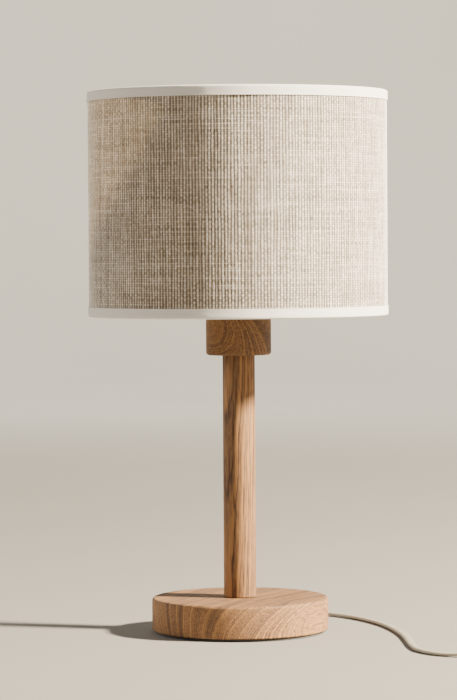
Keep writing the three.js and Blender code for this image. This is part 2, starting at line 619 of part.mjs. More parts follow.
function buildSwitch() {
  const [centreX, centreY] = SWITCH_CENTRE;
  const screwTop = 12;
  const screwHoles = SWITCH_SCREWS.map(([x, y]) =>
    turnedRod(SWITCH_SCREW_RADIUS + GAP, -1, screwTop + GAP, 10).translate(x, y, 0));
  const headHoles = SWITCH_SCREWS.map(([x, y]) =>
    turnedRod(SWITCH_SCREW_HEAD + GAP + 0.1, -1, 2.5, 12).translate(x, y, 0));

  const cavity = block(40, 10, SWITCH_SPLIT).translate(0, 0, 2 + SWITCH_SPLIT / 2);
  const lower = slab(switchOutline(), 0, SWITCH_SPLIT);
  addPart('switch_lower', 'holder_plastic', cut(lower, cavity, ...screwHoles, ...headHoles))
    .position.set(centreX, centreY, 0);

  const window = block(ROCKER_LENGTH + 1.8, ROCKER_WIDTH + 1, 30).translate(0, 0, ROCKER_PIVOT);
  const axleHole = new THREE.CylinderGeometry(ROCKER_AXLE + GAP, ROCKER_AXLE + GAP, ROCKER_WIDTH + 6, 12)
    .translate(0, 0, ROCKER_PIVOT);
  const body = slab(switchOutline(), SWITCH_SPLIT + GAP, SWITCH_HEIGHT, 2);
  addPart('switch_upper', 'holder_plastic', cut(body, window, axleHole, ...screwHoles))
    .position.set(centreX, centreY, 0);

  SWITCH_SCREWS.forEach(([x, y], i) => {
    const screw = turned([
      [0, 0.5], [SWITCH_SCREW_HEAD, 0.5], [SWITCH_SCREW_HEAD, 2.2], [SWITCH_SCREW_RADIUS, 2.2],
      [SWITCH_SCREW_RADIUS, screwTop], [0, screwTop],
    ], 10);
    addPart(`switch_screw_${i + 1}`, 'steel', screw).position.set(centreX + x, centreY + y, 0);
  });
  addPart('switch_contact', 'brass', block(24, 5, 1.2).translate(0, 0, 4.6))
    .position.set(centreX, centreY, 0);

  const halfLength = ROCKER_LENGTH / 2;
  const rockerShape = outline([
    [-halfLength, -1], [-3, -3.2], [3, -3.2], [halfLength, -1], [halfLength, 4.2], [0, 2.6],
    [-halfLength, 4.2],
  ]);
  const paddle = new THREE.ExtrudeGeometry(rockerShape, { depth: ROCKER_WIDTH, bevelEnabled: false })
    .translate(0, 0, -ROCKER_WIDTH / 2).rotateX(Math.PI / 2);
  const axle = new THREE.CylinderGeometry(ROCKER_AXLE, ROCKER_AXLE, ROCKER_WIDTH + 5, 12);
  const rocker = addPart('switch_rocker', 'holder_plastic', joined(paddle, axle));
  rocker.position.set(centreX, centreY, ROCKER_PIVOT);
  rocker.rotation.y = radians(ROCKER_TILT);
}

function buildPlug() {
  const [centreX, centreY] = PLUG_CENTRE;
  const half = PLUG_WIDTH / 2;
  const front = PLUG_LENGTH / 2;
  const shape = new THREE.Shape();
  shape.moveTo(-4.2, -front - PLUG_TAIL);
  shape.lineTo(4.2, -front - PLUG_TAIL);
  shape.lineTo(5.4, -front + 5);
  shape.bezierCurveTo(10, -front + 8, half, -front + 14, half, front - 10);
  shape.lineTo(half - 1.2, front);
  shape.lineTo(-half + 1.2, front);
  shape.lineTo(-half, front - 10);
  shape.bezierCurveTo(-half, -front + 14, -10, -front + 8, -5.4, -front + 5);
  const pinHoles = [-1, 1].map((side) =>
    new THREE.CylinderGeometry(PIN_RADIUS + GAP, PIN_RADIUS + GAP, 2 * (PIN_BURIED + 1), 12)
      .translate(side * PIN_SPACING / 2, front, PLUG_THICKNESS / 2));
  addPart('plug_body', 'flex_pvc', cut(slab(shape, 0, PLUG_THICKNESS, 2.5), ...pinHoles))
    .position.set(centreX, centreY, 0);
  ['plug_pin_live', 'plug_pin_neutral'].forEach((name, i) => {
    const pin = turned([
      [0, -PIN_BURIED], [PIN_RADIUS, -PIN_BURIED], [PIN_RADIUS, PIN_LENGTH - 1.2],
      [PIN_RADIUS - 1, PIN_LENGTH], [0, PIN_LENGTH],
    ], 16).rotateX(-Math.PI / 2);
    const side = i === 0 ? -1 : 1;
    addPart(name, 'nickel', pin)
      .position.set(centreX + side * PIN_SPACING / 2, centreY + front, PLUG_THICKNESS / 2);
  });
}

buildBase();
buildStrainRelief();
buildStem();
buildInnerFlex();
buildHolder();
buildShade();
buildBulb();
buildCord();
buildSwitch();
buildPlug();

export default lamp;
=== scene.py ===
# Table lamp with a linen drum shade on a turned ash base. Sizes are in millimetres until a mesh is
# made, because the CAD's are. The frame is +Z up, with the front towards -Y.

import math

import bpy
import numpy as np
from mathutils import Euler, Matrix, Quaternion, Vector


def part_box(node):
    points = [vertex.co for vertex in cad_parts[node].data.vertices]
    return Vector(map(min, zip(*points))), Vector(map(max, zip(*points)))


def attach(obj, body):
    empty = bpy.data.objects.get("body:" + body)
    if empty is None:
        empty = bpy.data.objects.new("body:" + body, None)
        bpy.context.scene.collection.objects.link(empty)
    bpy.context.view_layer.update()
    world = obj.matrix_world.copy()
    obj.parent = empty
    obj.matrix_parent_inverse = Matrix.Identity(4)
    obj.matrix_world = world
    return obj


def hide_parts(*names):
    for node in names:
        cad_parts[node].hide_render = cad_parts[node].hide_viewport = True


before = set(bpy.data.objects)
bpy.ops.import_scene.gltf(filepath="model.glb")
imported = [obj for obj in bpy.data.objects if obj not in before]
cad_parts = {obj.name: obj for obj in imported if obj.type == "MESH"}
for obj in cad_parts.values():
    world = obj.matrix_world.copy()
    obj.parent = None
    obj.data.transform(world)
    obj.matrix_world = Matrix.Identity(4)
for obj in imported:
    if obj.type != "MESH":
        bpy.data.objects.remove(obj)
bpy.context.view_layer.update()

MM = 0.001
TAU = 2 * math.pi
rng = np.random.default_rng(20)


def span(node):
    """A CAD node's lowest and highest corner, in millimetres."""
    low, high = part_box(node)
    return np.array(low) / MM, np.array(high) / MM


# ------------------------------------------------------------------ places, from the frame

BASE_LOW, BASE_HIGH = span("base_disc")
BASE_RADIUS = BASE_HIGH[0]
BASE_BOTTOM, BASE_TOP = BASE_LOW[2], BASE_HIGH[2]
POST_RADIUS = span("stem_post")[1][0]
CUP_LOW, CUP_HIGH = span("holder_cup")
CUP_RADIUS = CUP_HIGH[0]
SHADE_BOTTOM, SHADE_TOP = span("bottom_trim")[0][2], span("top_trim")[1][2]
SHADE_RADIUS = span("top_trim")[1][0]
FABRIC_RADIUS = span("shade_fabric")[1][0]
FABRIC_BOTTOM, FABRIC_TOP = span("shade_fabric")[0][2], span("shade_fabric")[1][2]
LINER_RADIUS = span("shade_liner")[1][0]
TAPE_WIDTH = span("bottom_trim")[1][2] - SHADE_BOTTOM
RING_RADIUS = span("bottom_ring")[1][0] - 1.5


# ------------------------------------------------------------------ camera

CAMERA_DISTANCE = 2.60
CAMERA_HEIGHT = 0.3268
CAMERA_PITCH = 0.0348
CAMERA_YAW = 0.003246
CAMERA_ROLL = -0.0064
CAMERA_LENS = 159.9


def make_camera():
    data = bpy.data.cameras.new("camera")
    data.sensor_width = 36
    data.lens = CAMERA_LENS
    camera = bpy.data.objects.new("camera", data)
    bpy.context.scene.collection.objects.link(camera)
    camera.location = (0, -CAMERA_DISTANCE, CAMERA_HEIGHT)
    aim = Euler((math.pi / 2 - CAMERA_PITCH, 0, CAMERA_YAW)).to_quaternion()
    camera.rotation_mode = "QUATERNION"
    camera.rotation_quaternion = aim @ Quaternion((0, 0, 1), CAMERA_ROLL)
    bpy.context.scene.camera = camera


make_camera()


# ------------------------------------------------------------------ mesh helpers

def mesh_object(name, points, faces, sharp_degrees=40):
    """A smooth-shaded mesh from points in millimetres, with its edges sharp beyond an angle."""
    mesh = bpy.data.meshes.new(name)
    mesh.from_pydata([tuple(p) for p in np.asarray(points) * MM], [], faces)
    mesh.update()
    mesh.polygons.foreach_set("use_smooth", [True] * len(mesh.polygons))
    mesh.set_sharp_from_angle(angle=math.radians(sharp_degrees))
    piece = bpy.data.objects.new(name, mesh)
    bpy.context.scene.collection.objects.link(piece)
    return piece


def finish_piece(piece, body, slot, *nodes, material=None):
    """Gives a piece its body and its material, and hides the CAD nodes that it stands for.

    The material is the one with the slot's own name, unless another is named."""
    piece.data.materials.clear()
    piece.data.materials.append(MATERIALS[material or slot])
    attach(piece, body)
    if nodes:
        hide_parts(*nodes)
    return piece


def arc(x, y, radius, start, end, steps=6):
    angles = np.radians(np.linspace(start, end, steps + 1))
    return [(x + radius * math.cos(a), y + radius * math.sin(a)) for a in angles]


def lathe_data(profile, segments):
    """Points and faces of a solid of revolution. The [radius, height] profile runs anticlockwise."""
    points, rings, faces = [], [], []
    for radius, height in profile:
        count = 1 if radius < 1e-6 else segments
        rings.append([len(points) + i for i in range(count)])
        for i in range(count):
            angle = TAU * i / segments
            points.append((radius * math.cos(angle), radius * math.sin(angle), height))
    for low, high in zip(rings, rings[1:] + rings[:1]):
        for i in range(segments):
            k = (i + 1) % segments
            if len(low) > 1 and len(high) > 1:
                faces.append((low[i], low[k], high[k], high[i]))
            elif len(low) > 1:
                faces.append((low[i], low[k], high[0]))
            elif len(high) > 1:
                faces.append((low[0], high[k], high[i]))
    return points, faces


def lathe(name, profile, segments=128, sharp_degrees=40):
    return mesh_object(name, *lathe_data(profile, segments), sharp_degrees)


def spline(knots, step):
    """A centripetal Catmull-Rom curve through the knots, as points about step apart."""
    knots = np.asarray(knots, float)
    knots = np.vstack([2 * knots[0] - knots[1], knots, 2 * knots[-1] - knots[-2]])
    points = []
    for a, b, c, d in zip(knots, knots[1:], knots[2:], knots[3:]):
        t1 = np.linalg.norm(b - a) ** 0.5
        t2 = t1 + np.linalg.norm(c - b) ** 0.5
        t3 = t2 + np.linalg.norm(d - c) ** 0.5
        for t in np.linspace(t1, t2, max(2, int(np.linalg.norm(c - b) / step) + 1), endpoint=False):
            p = a + (b - a) * t / t1
            q = b + (c - b) * (t - t1) / (t2 - t1)
            r = c + (d - c) * (t - t2) / (t3 - t2)
            p, q = p + (q - p) * t / t2, q + (r - q) * (t - t1) / (t3 - t1)
            points.append(p + (q - p) * (t - t1) / (t2 - t1))
    points.append(knots[-2])
    return np.array(points)


def sweep(name, path, section, up=(0, 0, 1), tilt=None, sharp_degrees=60):
    """A closed tube: section's [across, upright] points carried along path, upright nearest to up."""
    path, section = np.asarray(path, float), np.asarray(section, float)
    tangents = np.gradient(path, axis=0)
    tangents /= np.linalg.norm(tangents, axis=1)[:, None]
    upright = np.asarray(up, float) - tangents * (tangents @ np.asarray(up, float))[:, None]
    upright /= np.linalg.norm(upright, axis=1)[:, None]
    across = np.cross(tangents, upright)
    if tilt is not None:
        cos, sin = np.cos(tilt)[:, None], np.sin(tilt)[:, None]
        across, upright = across * cos + upright * sin, upright * cos - across * sin
    count = len(section)
    points = (path[:, None] + across[:, None] * section[None, :, :1]
              + upright[:, None] * section[None, :, 1:]).reshape(-1, 3)
    faces = []
    for i in range(len(path) - 1):
        for k in range(count):
            n = (k + 1) % count
            faces.append((i * count + k, (i + 1) * count + k, (i + 1) * count + n, i * count + n))
    faces.append(tuple(range(count)))
    faces.append(tuple((len(path) - 1) * count + k for k in reversed(range(count))))
    return mesh_object(name, points, faces, sharp_degrees)


def circle_section(radius, sides=16):
    return [(radius * math.cos(TAU * i / sides), radius * math.sin(TAU * i / sides)) for i in range(sides)]


# ------------------------------------------------------------------ material helpers

class Shader:
    """A material whose nodes are made by short calls. Each call gives back an output socket."""

    def __init__(self, name, roughness=0.5, metallic=0.0, **constants):
        self.material = bpy.data.materials.new(name)
        self.material.use_nodes = True
        self.tree = self.material.node_tree
        self.surface = self.tree.nodes["Principled BSDF"]
        self.surface.inputs["Roughness"].default_value = roughness
        self.surface.inputs["Metallic"].default_value = metallic
        for key, value in constants.items():
            self.surface.inputs[key.replace("_", " ")].default_value = value

    def put(self, kind, settings, sockets, output=0):
        node = self.tree.nodes.new("ShaderNode" + kind)
        for key, value in settings.items():
            setattr(node, key, value)
        for key, value in sockets.items():
            if isinstance(value, bpy.types.NodeSocket):
                self.tree.links.new(value, node.inputs[key])
            else:
                node.inputs[key].default_value = value
        return node.outputs[output]

    def place(self, scale=(1, 1, 1), offset=(0, 0, 0), turn=(0, 0, 0)):
        """The piece's own coordinates in metres, turned, scaled and moved."""
        here = self.put("TexCoord", {}, {}, "Object")
        return self.put("Mapping", {}, {"Vector": here, "Scale": scale, "Location": offset,
                                        "Rotation": turn})

    def split(self, vector):
        """The x, y and z of a vector."""
        node = self.tree.nodes.new("ShaderNodeSeparateXYZ")
        self.tree.links.new(vector, node.inputs[0])
        return node.outputs

    def noise(self, where, scale, detail=2.0, roughness=0.5, distortion=0.0):
        return self.put("TexNoise", {}, {
            "Vector": where, "Scale": scale, "Detail": detail, "Roughness": roughness,
            "Distortion": distortion}, 0)

    def math(self, operation, a, b=0.0, c=0.0):
        return self.put("Math", {"operation": operation}, {0: a, 1: b, 2: c})

    def ramp(self, factor, *stops):
        """A colour ramp with stops of (place, grey or colour)."""
        node = self.tree.nodes.new("ShaderNodeValToRGB")
        self.tree.links.new(factor, node.inputs[0])
        band = node.color_ramp.elements
        while len(band) < len(stops):
            band.new(0.5)
        for element, (at, colour) in zip(band, stops):
            element.position = at
            element.color = (*((colour,) * 3 if isinstance(colour, (int, float)) else colour), 1)
        return node.outputs[0]

    def mix(self, factor, a, b, blend="MIX"):
        return self.put("Mix", {"data_type": "RGBA", "blend_type": blend}, {0: factor, 6: a, 7: b}, 2)

    def fit(self, value, low, high, to_low=0.0, to_high=1.0, smooth=False):
        """The value's stretch from low to high, fitted to another one and held at its ends."""
        settings = {"interpolation_type": "SMOOTHSTEP"} if smooth else {}
        return self.put("MapRange", settings, {"Value": value, "From Min": low, "From Max": high,
                                               "To Min": to_low, "To Max": to_high})

    def colour(self, value):
        self.tree.links.new(value, self.surface.inputs["Base Color"])
        return self

    def roughness(self, value, low, high):
        self.tree.links.new(self.fit(value, 0.0, 1.0, low, high), self.surface.inputs["Roughness"])
        return self

    def bump(self, height, distance, strength=1.0, under=None):
        sockets = {"Height": height, "Distance": distance, "Strength": strength}
        if under is not None:
            sockets["Normal"] = under
        normal = self.put("Bump", {}, sockets)
        self.tree.links.new(normal, self.surface.inputs["Normal"])
        return normal


def rgb(*values):
    return (*values, 1)


# ------------------------------------------------------------------ materials

WOOD_PORE = (0.045, 0.021, 0.010)
WOOD_DARK = (0.060, 0.032, 0.020)
WOOD_MID = (0.195, 0.108, 0.060)
WOOD_LIGHT = (0.42, 0.218, 0.088)


def wood(name, along, centre, spacing, wave, painted_shade_factor=1.0,
         slants=((-1, 0), (1, 0)), swirl=0.0, lines=1.0, streaks=0.0, mottle=0.0, face=None):
    """Ash: growth rings about an axis through centre, pores along it, and a soft oiled sheen.

    along is the grain's direction, centre a point on the pith in millimetres, spacing the rings'
    distance in millimetres, and wave how far they wander, in millimetres. painted_shade_factor
    under 1 makes a darker board, as painted shade. slants are pairs of a place across the grain,
    in millimetres, and how much the rings slant there. swirl is how far the rings close round the
    centre, in millimetres, as they do beside a knot. lines is the strength of the dark rings,
    streaks the share of rings that carry a pale one, and mottle the strength of short cloudy
    flecks. Above face, a height in millimetres, the flat top is painted darker, as painted shade."""
    s = Shader(name, Specular_IOR_Level=0.22)
    along = np.array(along, float) / np.linalg.norm(along)
    side = np.cross(along, (0, 0, 1)) if abs(along[2]) < 0.9 else np.array((1.0, 0, 0))
    side = side / np.linalg.norm(side)
    third = np.cross(along, side)
    here = s.put("TexCoord", {}, {}, "Object")
    moved = s.put("VectorMath", {"operation": "SUBTRACT"}, {0: here, 1: tuple(np.array(centre) * MM)})

    def dot(direction):
        return s.put("VectorMath", {"operation": "DOT_PRODUCT"}, {0: moved, 1: tuple(direction)}, "Value")

    length, across, depth = dot(along), dot(side), dot(third)

    def drawn_out(along_grain, across_grain):
        """The place in the board, scaled along the grain and across it."""
        return s.put("CombineXYZ", {}, {0: s.math("MULTIPLY", length, along_grain),
                                        1: s.math("MULTIPLY", across, across_grain),
                                        2: s.math("MULTIPLY", depth, across_grain)})

    wander = s.noise(drawn_out(6.0, 22.0), 1.0, 3.0, 0.55)
    ends = s.math("MULTIPLY", s.math("TANH", s.math("MULTIPLY", length, 45.0)), swirl * MM)
    offset = s.put("CombineXYZ", {}, {0: across, 1: depth, 2: ends})
    radius = s.put("VectorMath", {"operation": "LENGTH"}, {0: offset}, "Value")
    radius = s.math("ADD", radius, s.math("MULTIPLY", s.math("SUBTRACT", wander, 0.5), 2 * wave * MM))
    shiver = s.noise(drawn_out(40.0, 260.0), 1.0, 2.0)
    radius = s.math("ADD", radius, s.math("MULTIPLY", s.math("SUBTRACT", shiver, 0.5), 0.9 * MM))
    first, last = slants[0][0] * MM, slants[-1][0] * MM
    slant = s.ramp(s.fit(across, first, last),
                   *[((at * MM - first) / (last - first), 0.5 + 0.5 * value) for at, value in slants])
    slant = s.math("MULTIPLY_ADD", slant, 2.0, -1.0)
    radius = s.math("ADD", radius, s.math("MULTIPLY", slant, depth))
    phase = s.math("DIVIDE", radius, spacing * MM)
    ring = s.math("FRACT", phase)
    year = s.put("TexWhiteNoise", {"noise_dimensions": "1D"}, {"W": s.math("FLOOR", phase)}, 0)
    broad = s.noise(s.put("CombineXYZ", {}, {0: phase, 1: s.math("MULTIPLY", length, 16.0)}), 0.3, 2.0)
    tone = s.ramp(ring, (0.0, 0.10), (0.16, 0.80), (0.55, 0.70), (0.84, 0.32), (0.96, 0.05))
    patchy = s.noise(drawn_out(30.0, 170.0), 1.0, 2.0)
    tone = s.mix(s.fit(patchy, 0.35, 0.65, 0.0, 0.55), tone, rgb(0.5, 0.5, 0.5))
    tone = s.mix(lines, rgb(0.5, 0.5, 0.5), tone)
    tone = s.mix(0.34 * lines, tone, s.ramp(year, (0.0, 0.0), (1.0, 1.0)))
    tone = s.mix(0.36, tone, s.ramp(broad, (0.36, 0.30), (0.60, 0.85)))
    if streaks:
        drawn = s.fit(year, 1 - streaks, 1.02 - streaks)
        pale = s.math("MULTIPLY", drawn, s.ramp(ring, (0.04, 0.0), (0.16, 1.0), (0.42, 0.9), (0.62, 0.0)))
        tone = s.mix(s.math("MULTIPLY", pale, 0.75), tone, rgb(0.92, 0.92, 0.92))
    if mottle:
        fleck = s.noise(drawn_out(75.0, 420.0), 1.0, 3.0, 0.6)
        tone = s.mix(mottle, tone, s.ramp(fleck, (0.34, 0.0), (0.66, 1.0)), "OVERLAY")
    tone = s.mix(s.fit(radius, 0.0, 0.022, 0.62, 0.0, smooth=True), tone, rgb(0.66, 0.66, 0.66))
    fibre_place = drawn_out(28.0, 1300.0)
    fibres = s.noise(fibre_place, 1.0, 3.0, 0.6)
    pores = s.ramp(s.noise(fibre_place, 0.7, 1.0), (0.38, 0.0), (0.48, 1.0))
    tone = s.mix(0.30, tone, fibres, "OVERLAY")
    # Every colour stop is scaled by the factor, which darkens a board in shade: painted shade.
    colour = s.ramp(tone, *[(at, tuple(painted_shade_factor * c for c in stop)) for at, stop in (
        (0.16, WOOD_DARK), (0.45, WOOD_MID), (0.78, WOOD_LIGHT))])
    early = s.ramp(ring, (0.0, 0.85), (0.35, 0.80), (0.50, 0.20), (0.85, 0.15), (0.98, 0.80))
    dark_pores = s.math("MULTIPLY", s.math("SUBTRACT", 1.0, pores), early)
    colour = s.mix(s.math("MULTIPLY", dark_pores, 0.75), colour, rgb(*WOOD_PORE))
    # Above face the flat top is painted darker: painted shade.
    if face:
        painted_top_shade = s.fit(s.split(here)[2], (face - 1.0) * MM, face * MM, 0.0, 0.36)
        colour = s.mix(painted_top_shade, colour, rgb(0.03, 0.022, 0.016))
    s.colour(colour).roughness(fibres, 0.50, 0.74)
    under = s.bump(pores, 0.00012, 0.6)
    s.bump(s.math("ADD", s.math("MULTIPLY", ring, 0.4), fibres), 0.00006, 0.7, under)
    return s.material


def linen():
    """Slubby flax. The tone of each crossing comes from the weave's own mesh."""
    s = Shader("linen", roughness=0.92, Sheen_Weight=0.12, Sheen_Roughness=0.5, Subsurface_Weight=0.6,
               Subsurface_Radius=(0.95, 0.88, 0.76), Subsurface_Scale=0.003)
    tone = s.put("Attribute", {"attribute_name": "tone"}, {}, "Fac")
    here = s.place()
    fuzz = s.noise(here, 1900.0, 3.0, 0.7)
    streak = s.noise(s.place(scale=(260, 260, 26)), 1.0, 2.0)
    cloud = s.noise(here, 14.0, 2.0)
    # The ramp's dark end is painted shade, for the weave's holes and dipping wefts.
    colour = s.ramp(tone, (0.0, (0.034, 0.026, 0.019)), (0.35, (0.18, 0.147, 0.112)),
                    (0.65, (0.49, 0.437, 0.37)), (1.0, (0.90, 0.87, 0.82)))
    colour = s.mix(0.34, colour, s.ramp(fuzz, (0.3, 0.12), (0.7, 0.88)), "OVERLAY")
    colour = s.mix(0.26, colour, s.ramp(streak, (0.3, 0.15), (0.7, 0.85)), "OVERLAY")
    colour = s.mix(0.10, colour, s.ramp(cloud, (0.3, 0.3), (0.7, 0.7)), "OVERLAY")
    s.colour(colour)
    s.bump(s.math("ADD", fuzz, s.math("MULTIPLY", streak, 0.6)), 0.00012, 0.8)
    return s.material


def woven(name, light, dark, pitch, roughness=0.88, relief=0.00009):
    """A fine plain-woven tape or strap, its threads pitch metres apart."""
    s = Shader(name, roughness=roughness, Sheen_Weight=0.1, Sheen_Roughness=0.5)
    here = s.put("TexCoord", {}, {}, "Object")
    x, y, z = s.split(here)
    angle = s.math("ARCTAN2", y, x)
    around = s.math("SINE", s.math("MULTIPLY", angle, math.pi * SHADE_RADIUS * MM / pitch))
    along = s.math("SINE", s.math("MULTIPLY", z, math.pi / pitch))
    weave = s.math("ADD", s.math("MULTIPLY", s.math("MULTIPLY", around, along), 0.5), 0.5)
    fuzz = s.noise(here, 2400.0, 3.0, 0.7)
    cloud = s.noise(here, 30.0, 2.0)
    colour = s.mix(s.math("MULTIPLY", weave, 0.5), rgb(*light), rgb(*dark))
    colour = s.mix(0.25, colour, s.ramp(fuzz, (0.3, 0.25), (0.7, 0.75)), "OVERLAY")
    colour = s.mix(0.12, colour, s.ramp(cloud, (0.3, 0.3), (0.7, 0.7)), "OVERLAY")
    s.colour(colour)
    s.bump(s.math("ADD", weave, s.math("MULTIPLY", fuzz, 0.7)), relief, 0.9)
    return s.material


def moulded(name, base, worn, roughness=(0.35, 0.5), grain=900.0, relief=0.00004, **constants):
    """A moulded surface: a faint texture, a slow tone drift, and a roughness that varies."""
    s = Shader(name, **constants)
    here = s.place()
    fine, slow = s.noise(here, grain, 2.0, 0.6), s.noise(here, 25.0, 3.0)
    s.colour(s.mix(s.ramp(slow, (0.35, 0.0), (0.75, 1.0)), rgb(*base), rgb(*worn)))
    s.roughness(slow, *roughness)
    s.bump(fine, relief, 0.6)
    return s.material


def metal(name, base, dull, roughness=(0.2, 0.4), stretch=(60, 60, 900)):
    """A worked metal: hairline marks one way, and duller patches."""
    s = Shader(name, metallic=1.0)
    hair = s.noise(s.place(scale=stretch), 1.0, 3.0, 0.6)
    patch = s.noise(s.place(), 60.0, 3.0, 0.6)
    s.colour(s.mix(s.ramp(patch, (0.4, 0.0), (0.7, 1.0)), rgb(*base), rgb(*dull)))
    s.roughness(hair, *roughness)
    s.bump(hair, 0.00002, 0.5)
    return s.material


def felt():
    s = Shader("felt", roughness=0.97, Sheen_Weight=0.3, Sheen_Roughness=0.6)
    here = s.place()
    fibres = s.noise(here, 1500.0, 4.0, 0.75, 0.6)
    s.colour(s.ramp(fibres, (0.3, (0.012, 0.011, 0.010)), (0.7, (0.050, 0.046, 0.042))))
    s.bump(fibres, 0.0003, 0.9)
    return s.material


def make_materials():
    return {
        # The base's flat top is painted darker above face: painted shade.
        "wood_base": wood("wood_base", along=(0.45, 0.89, 0), centre=(60, -41, 9), spacing=1.65,
                          wave=1.6, swirl=20.0, lines=0.8, streaks=0.4, mottle=0.15, face=BASE_TOP - 0.6,
                          slants=((-125, 0.40), (-100, 0.15), (-81, 0.0), (-67, -0.14), (-54, -0.34),
                                  (-39, -0.48), (-24, -0.42), (-7, -0.15), (5, 0.0))),
        # The post's whole board is painted darker: painted shade.
        "wood_post": wood("wood_post", along=(0.02, 0.03, 1), centre=(17, 9, 0), spacing=1.7, wave=2.6,
                          painted_shade_factor=0.76, streaks=0.35, mottle=0.28),
        # The cup's whole board is painted darker still, for the shade's shadow on it: painted shade.
        "wood_cup": wood("wood_cup", along=(0.12, 0.99, 0.05), centre=(-24, 0, 257), spacing=2.1,
                         wave=2.2, painted_shade_factor=0.52, lines=0.32, streaks=0.38, mottle=0.2,
                         slants=((0, 0.0), (18, -0.15), (26, -0.42), (39, -0.6), (60, -0.6))),
        "linen": linen(),
        "tape": woven("tape", (0.80, 0.785, 0.75), (0.58, 0.555, 0.51), 0.0006),
        "strap": woven("strap", (0.05, 0.048, 0.044), (0.02, 0.019, 0.018), 0.0007),
        "felt": felt(),
        "liner": moulded("liner", (0.90, 0.86, 0.78), (0.86, 0.81, 0.72), (0.45, 0.6), 400.0, Alpha=0.45),
        "white_paint": moulded("white_paint", (0.80, 0.79, 0.76), (0.72, 0.71, 0.68), (0.3, 0.45), 1500.0),
        "holder_plastic": moulded("holder_plastic", (0.82, 0.81, 0.78), (0.76, 0.75, 0.71)),
        "insulator": moulded("insulator", (0.78, 0.75, 0.69), (0.70, 0.66, 0.60), (0.45, 0.65), 700.0),
        "flex": moulded("flex", (0.385, 0.350, 0.275), (0.330, 0.300, 0.235), (0.32, 0.5), 1200.0,
                        0.00003, Subsurface_Weight=0.15, Subsurface_Scale=0.002),
        "switch_plastic": moulded("switch_plastic", (0.42, 0.385, 0.31), (0.36, 0.33, 0.265), (0.28, 0.42),
                                  1600.0),
        "core_brown": moulded("core_brown", (0.12, 0.05, 0.025), (0.10, 0.04, 0.02)),
        "core_blue": moulded("core_blue", (0.03, 0.09, 0.33), (0.025, 0.07, 0.27)),
        "black_glass": moulded("black_glass", (0.012, 0.012, 0.014), (0.02, 0.02, 0.022), (0.08, 0.2)),
        "phosphor": moulded("phosphor", (0.83, 0.52, 0.06), (0.75, 0.43, 0.05), (0.5, 0.65), 2000.0),
        "opal_glass": moulded("opal_glass", (0.90, 0.89, 0.86), (0.87, 0.86, 0.82), (0.38, 0.50), 300.0,
                              0.00001, Subsurface_Weight=0.35, Subsurface_Scale=0.01,
                              Coat_Weight=0.6, Coat_Roughness=0.06),
        "stem_glass": moulded("stem_glass", (0.90, 0.92, 0.92), (0.86, 0.88, 0.88), (0.04, 0.12), 300.0,
                              0.00001, Transmission_Weight=0.9),
        "steel": metal("steel", (0.56, 0.57, 0.58), (0.42, 0.42, 0.43)),
        "nickel": metal("nickel", (0.74, 0.73, 0.70), (0.60, 0.59, 0.56), (0.14, 0.28)),
        "brass": metal("brass", (0.72, 0.53, 0.22), (0.50, 0.35, 0.14), (0.2, 0.38)),
    }


MATERIALS = make_materials()


# ------------------------------------------------------------------ the flex, its route and its pieces

FLEX_WIDTH = 5.6
FLEX_THICKNESS = 3.0
FLEX_FLOOR = 3.0
COIL_CENTRE = (253, -108)
COIL_OUTSIDE = 36.0
COIL_PITCH = 3.2
COIL_TURNS = 6 + 40 / 360
COIL_CLIMB = 0.4
COIL_LAYER = 5.7
COIL_RISE_AT_TIE = 1.0

LEAD_A = [
    (0, 96.3, 8.2), (0, 101, 8.2), (0.2, 106, 8.2), (2.4, 113, 7.4), (8, 121, 5.5), (17.5, 127.5, 4),
    (30, 130, 3.15), (46, 127, 3), (62, 117.5, 3), (77, 104, 3), (91, 88.5, 3), (104, 69, 3),
    (115, 46, 3), (124, 19, 3), (130.5, -12, 3), (135, -46, 3), (137, -82, 3), (138.5, -114, 3),
    (143, -141, 3), (155, -161, 3), (171, -170.5, 3.1), (183, -172, 3.7), (190, -172, 4.8),
    (194.7, -172, 5),
]
LEAD_B = [
    (257.3, -172, 5), (260.5, -172, 5), (264, -171.7, 5), (270, -169.7, 4.1), (276.5, -165.4, 3.2),
    (283, -158, 3), (287.5, -147, 3), (289, -136, 3), (289, -125, 3),
]
TAIL = [
    (270, -72.3, 8.3), (268.1, -70, 8.3), (266.2, -67.6, 8.3), (263.9, -63.5, 7.2), (262.4, -57, 5.6),
    (262, -50, 5), (262, -44, 6.2), (262, -39.5, 6.85), (262, -35.3, 6.85),
]


def flex_section(points=28):
    """Two cores side by side under one skin, with a shallow valley between them."""
    section = []
    for i in range(points):
        angle = TAU * i / points
        upright = FLEX_WIDTH / 2 * math.copysign(abs(math.sin(angle)) ** 0.9, math.sin(angle))
        valley = 1 - 0.17 * math.exp(-(upright / 0.75) ** 2)
        across = FLEX_THICKNESS / 2 * math.copysign(abs(math.cos(angle)) ** 0.75, math.cos(angle)) * valley
        section.append((across, upright))
    return section


def coil_points(step_degrees=6):
    """Two flat layers of turns: inwards on the surface, up at the inside, and outwards on top."""
    inwards = (COIL_TURNS - COIL_CLIMB) / 2
    points = []
    for turn in np.arange(0, COIL_TURNS + 0.001, step_degrees / 360):
        climb = min(max((turn - inwards) / COIL_CLIMB, 0.0), 1.0)
        from_outside = min(turn, inwards, COIL_TURNS - turn)
        radius = COIL_OUTSIDE - COIL_PITCH * from_outside
        angle = TAU * turn
        lift = COIL_RISE_AT_TIE * max(0.0, math.cos(angle - math.pi)) ** 3
        height = FLEX_FLOOR + COIL_LAYER * climb ** 2 * (3 - 2 * climb) + lift
        points.append((COIL_CENTRE[0] + radius * math.cos(angle),
                       COIL_CENTRE[1] + radius * math.sin(angle), height))
    return points


def eased(value, start, end):
    """0 before start, 1 after end, and smooth between them."""
    t = np.clip((value - start) / (end - start), 0, 1)
    return t * t * (3 - 2 * t)


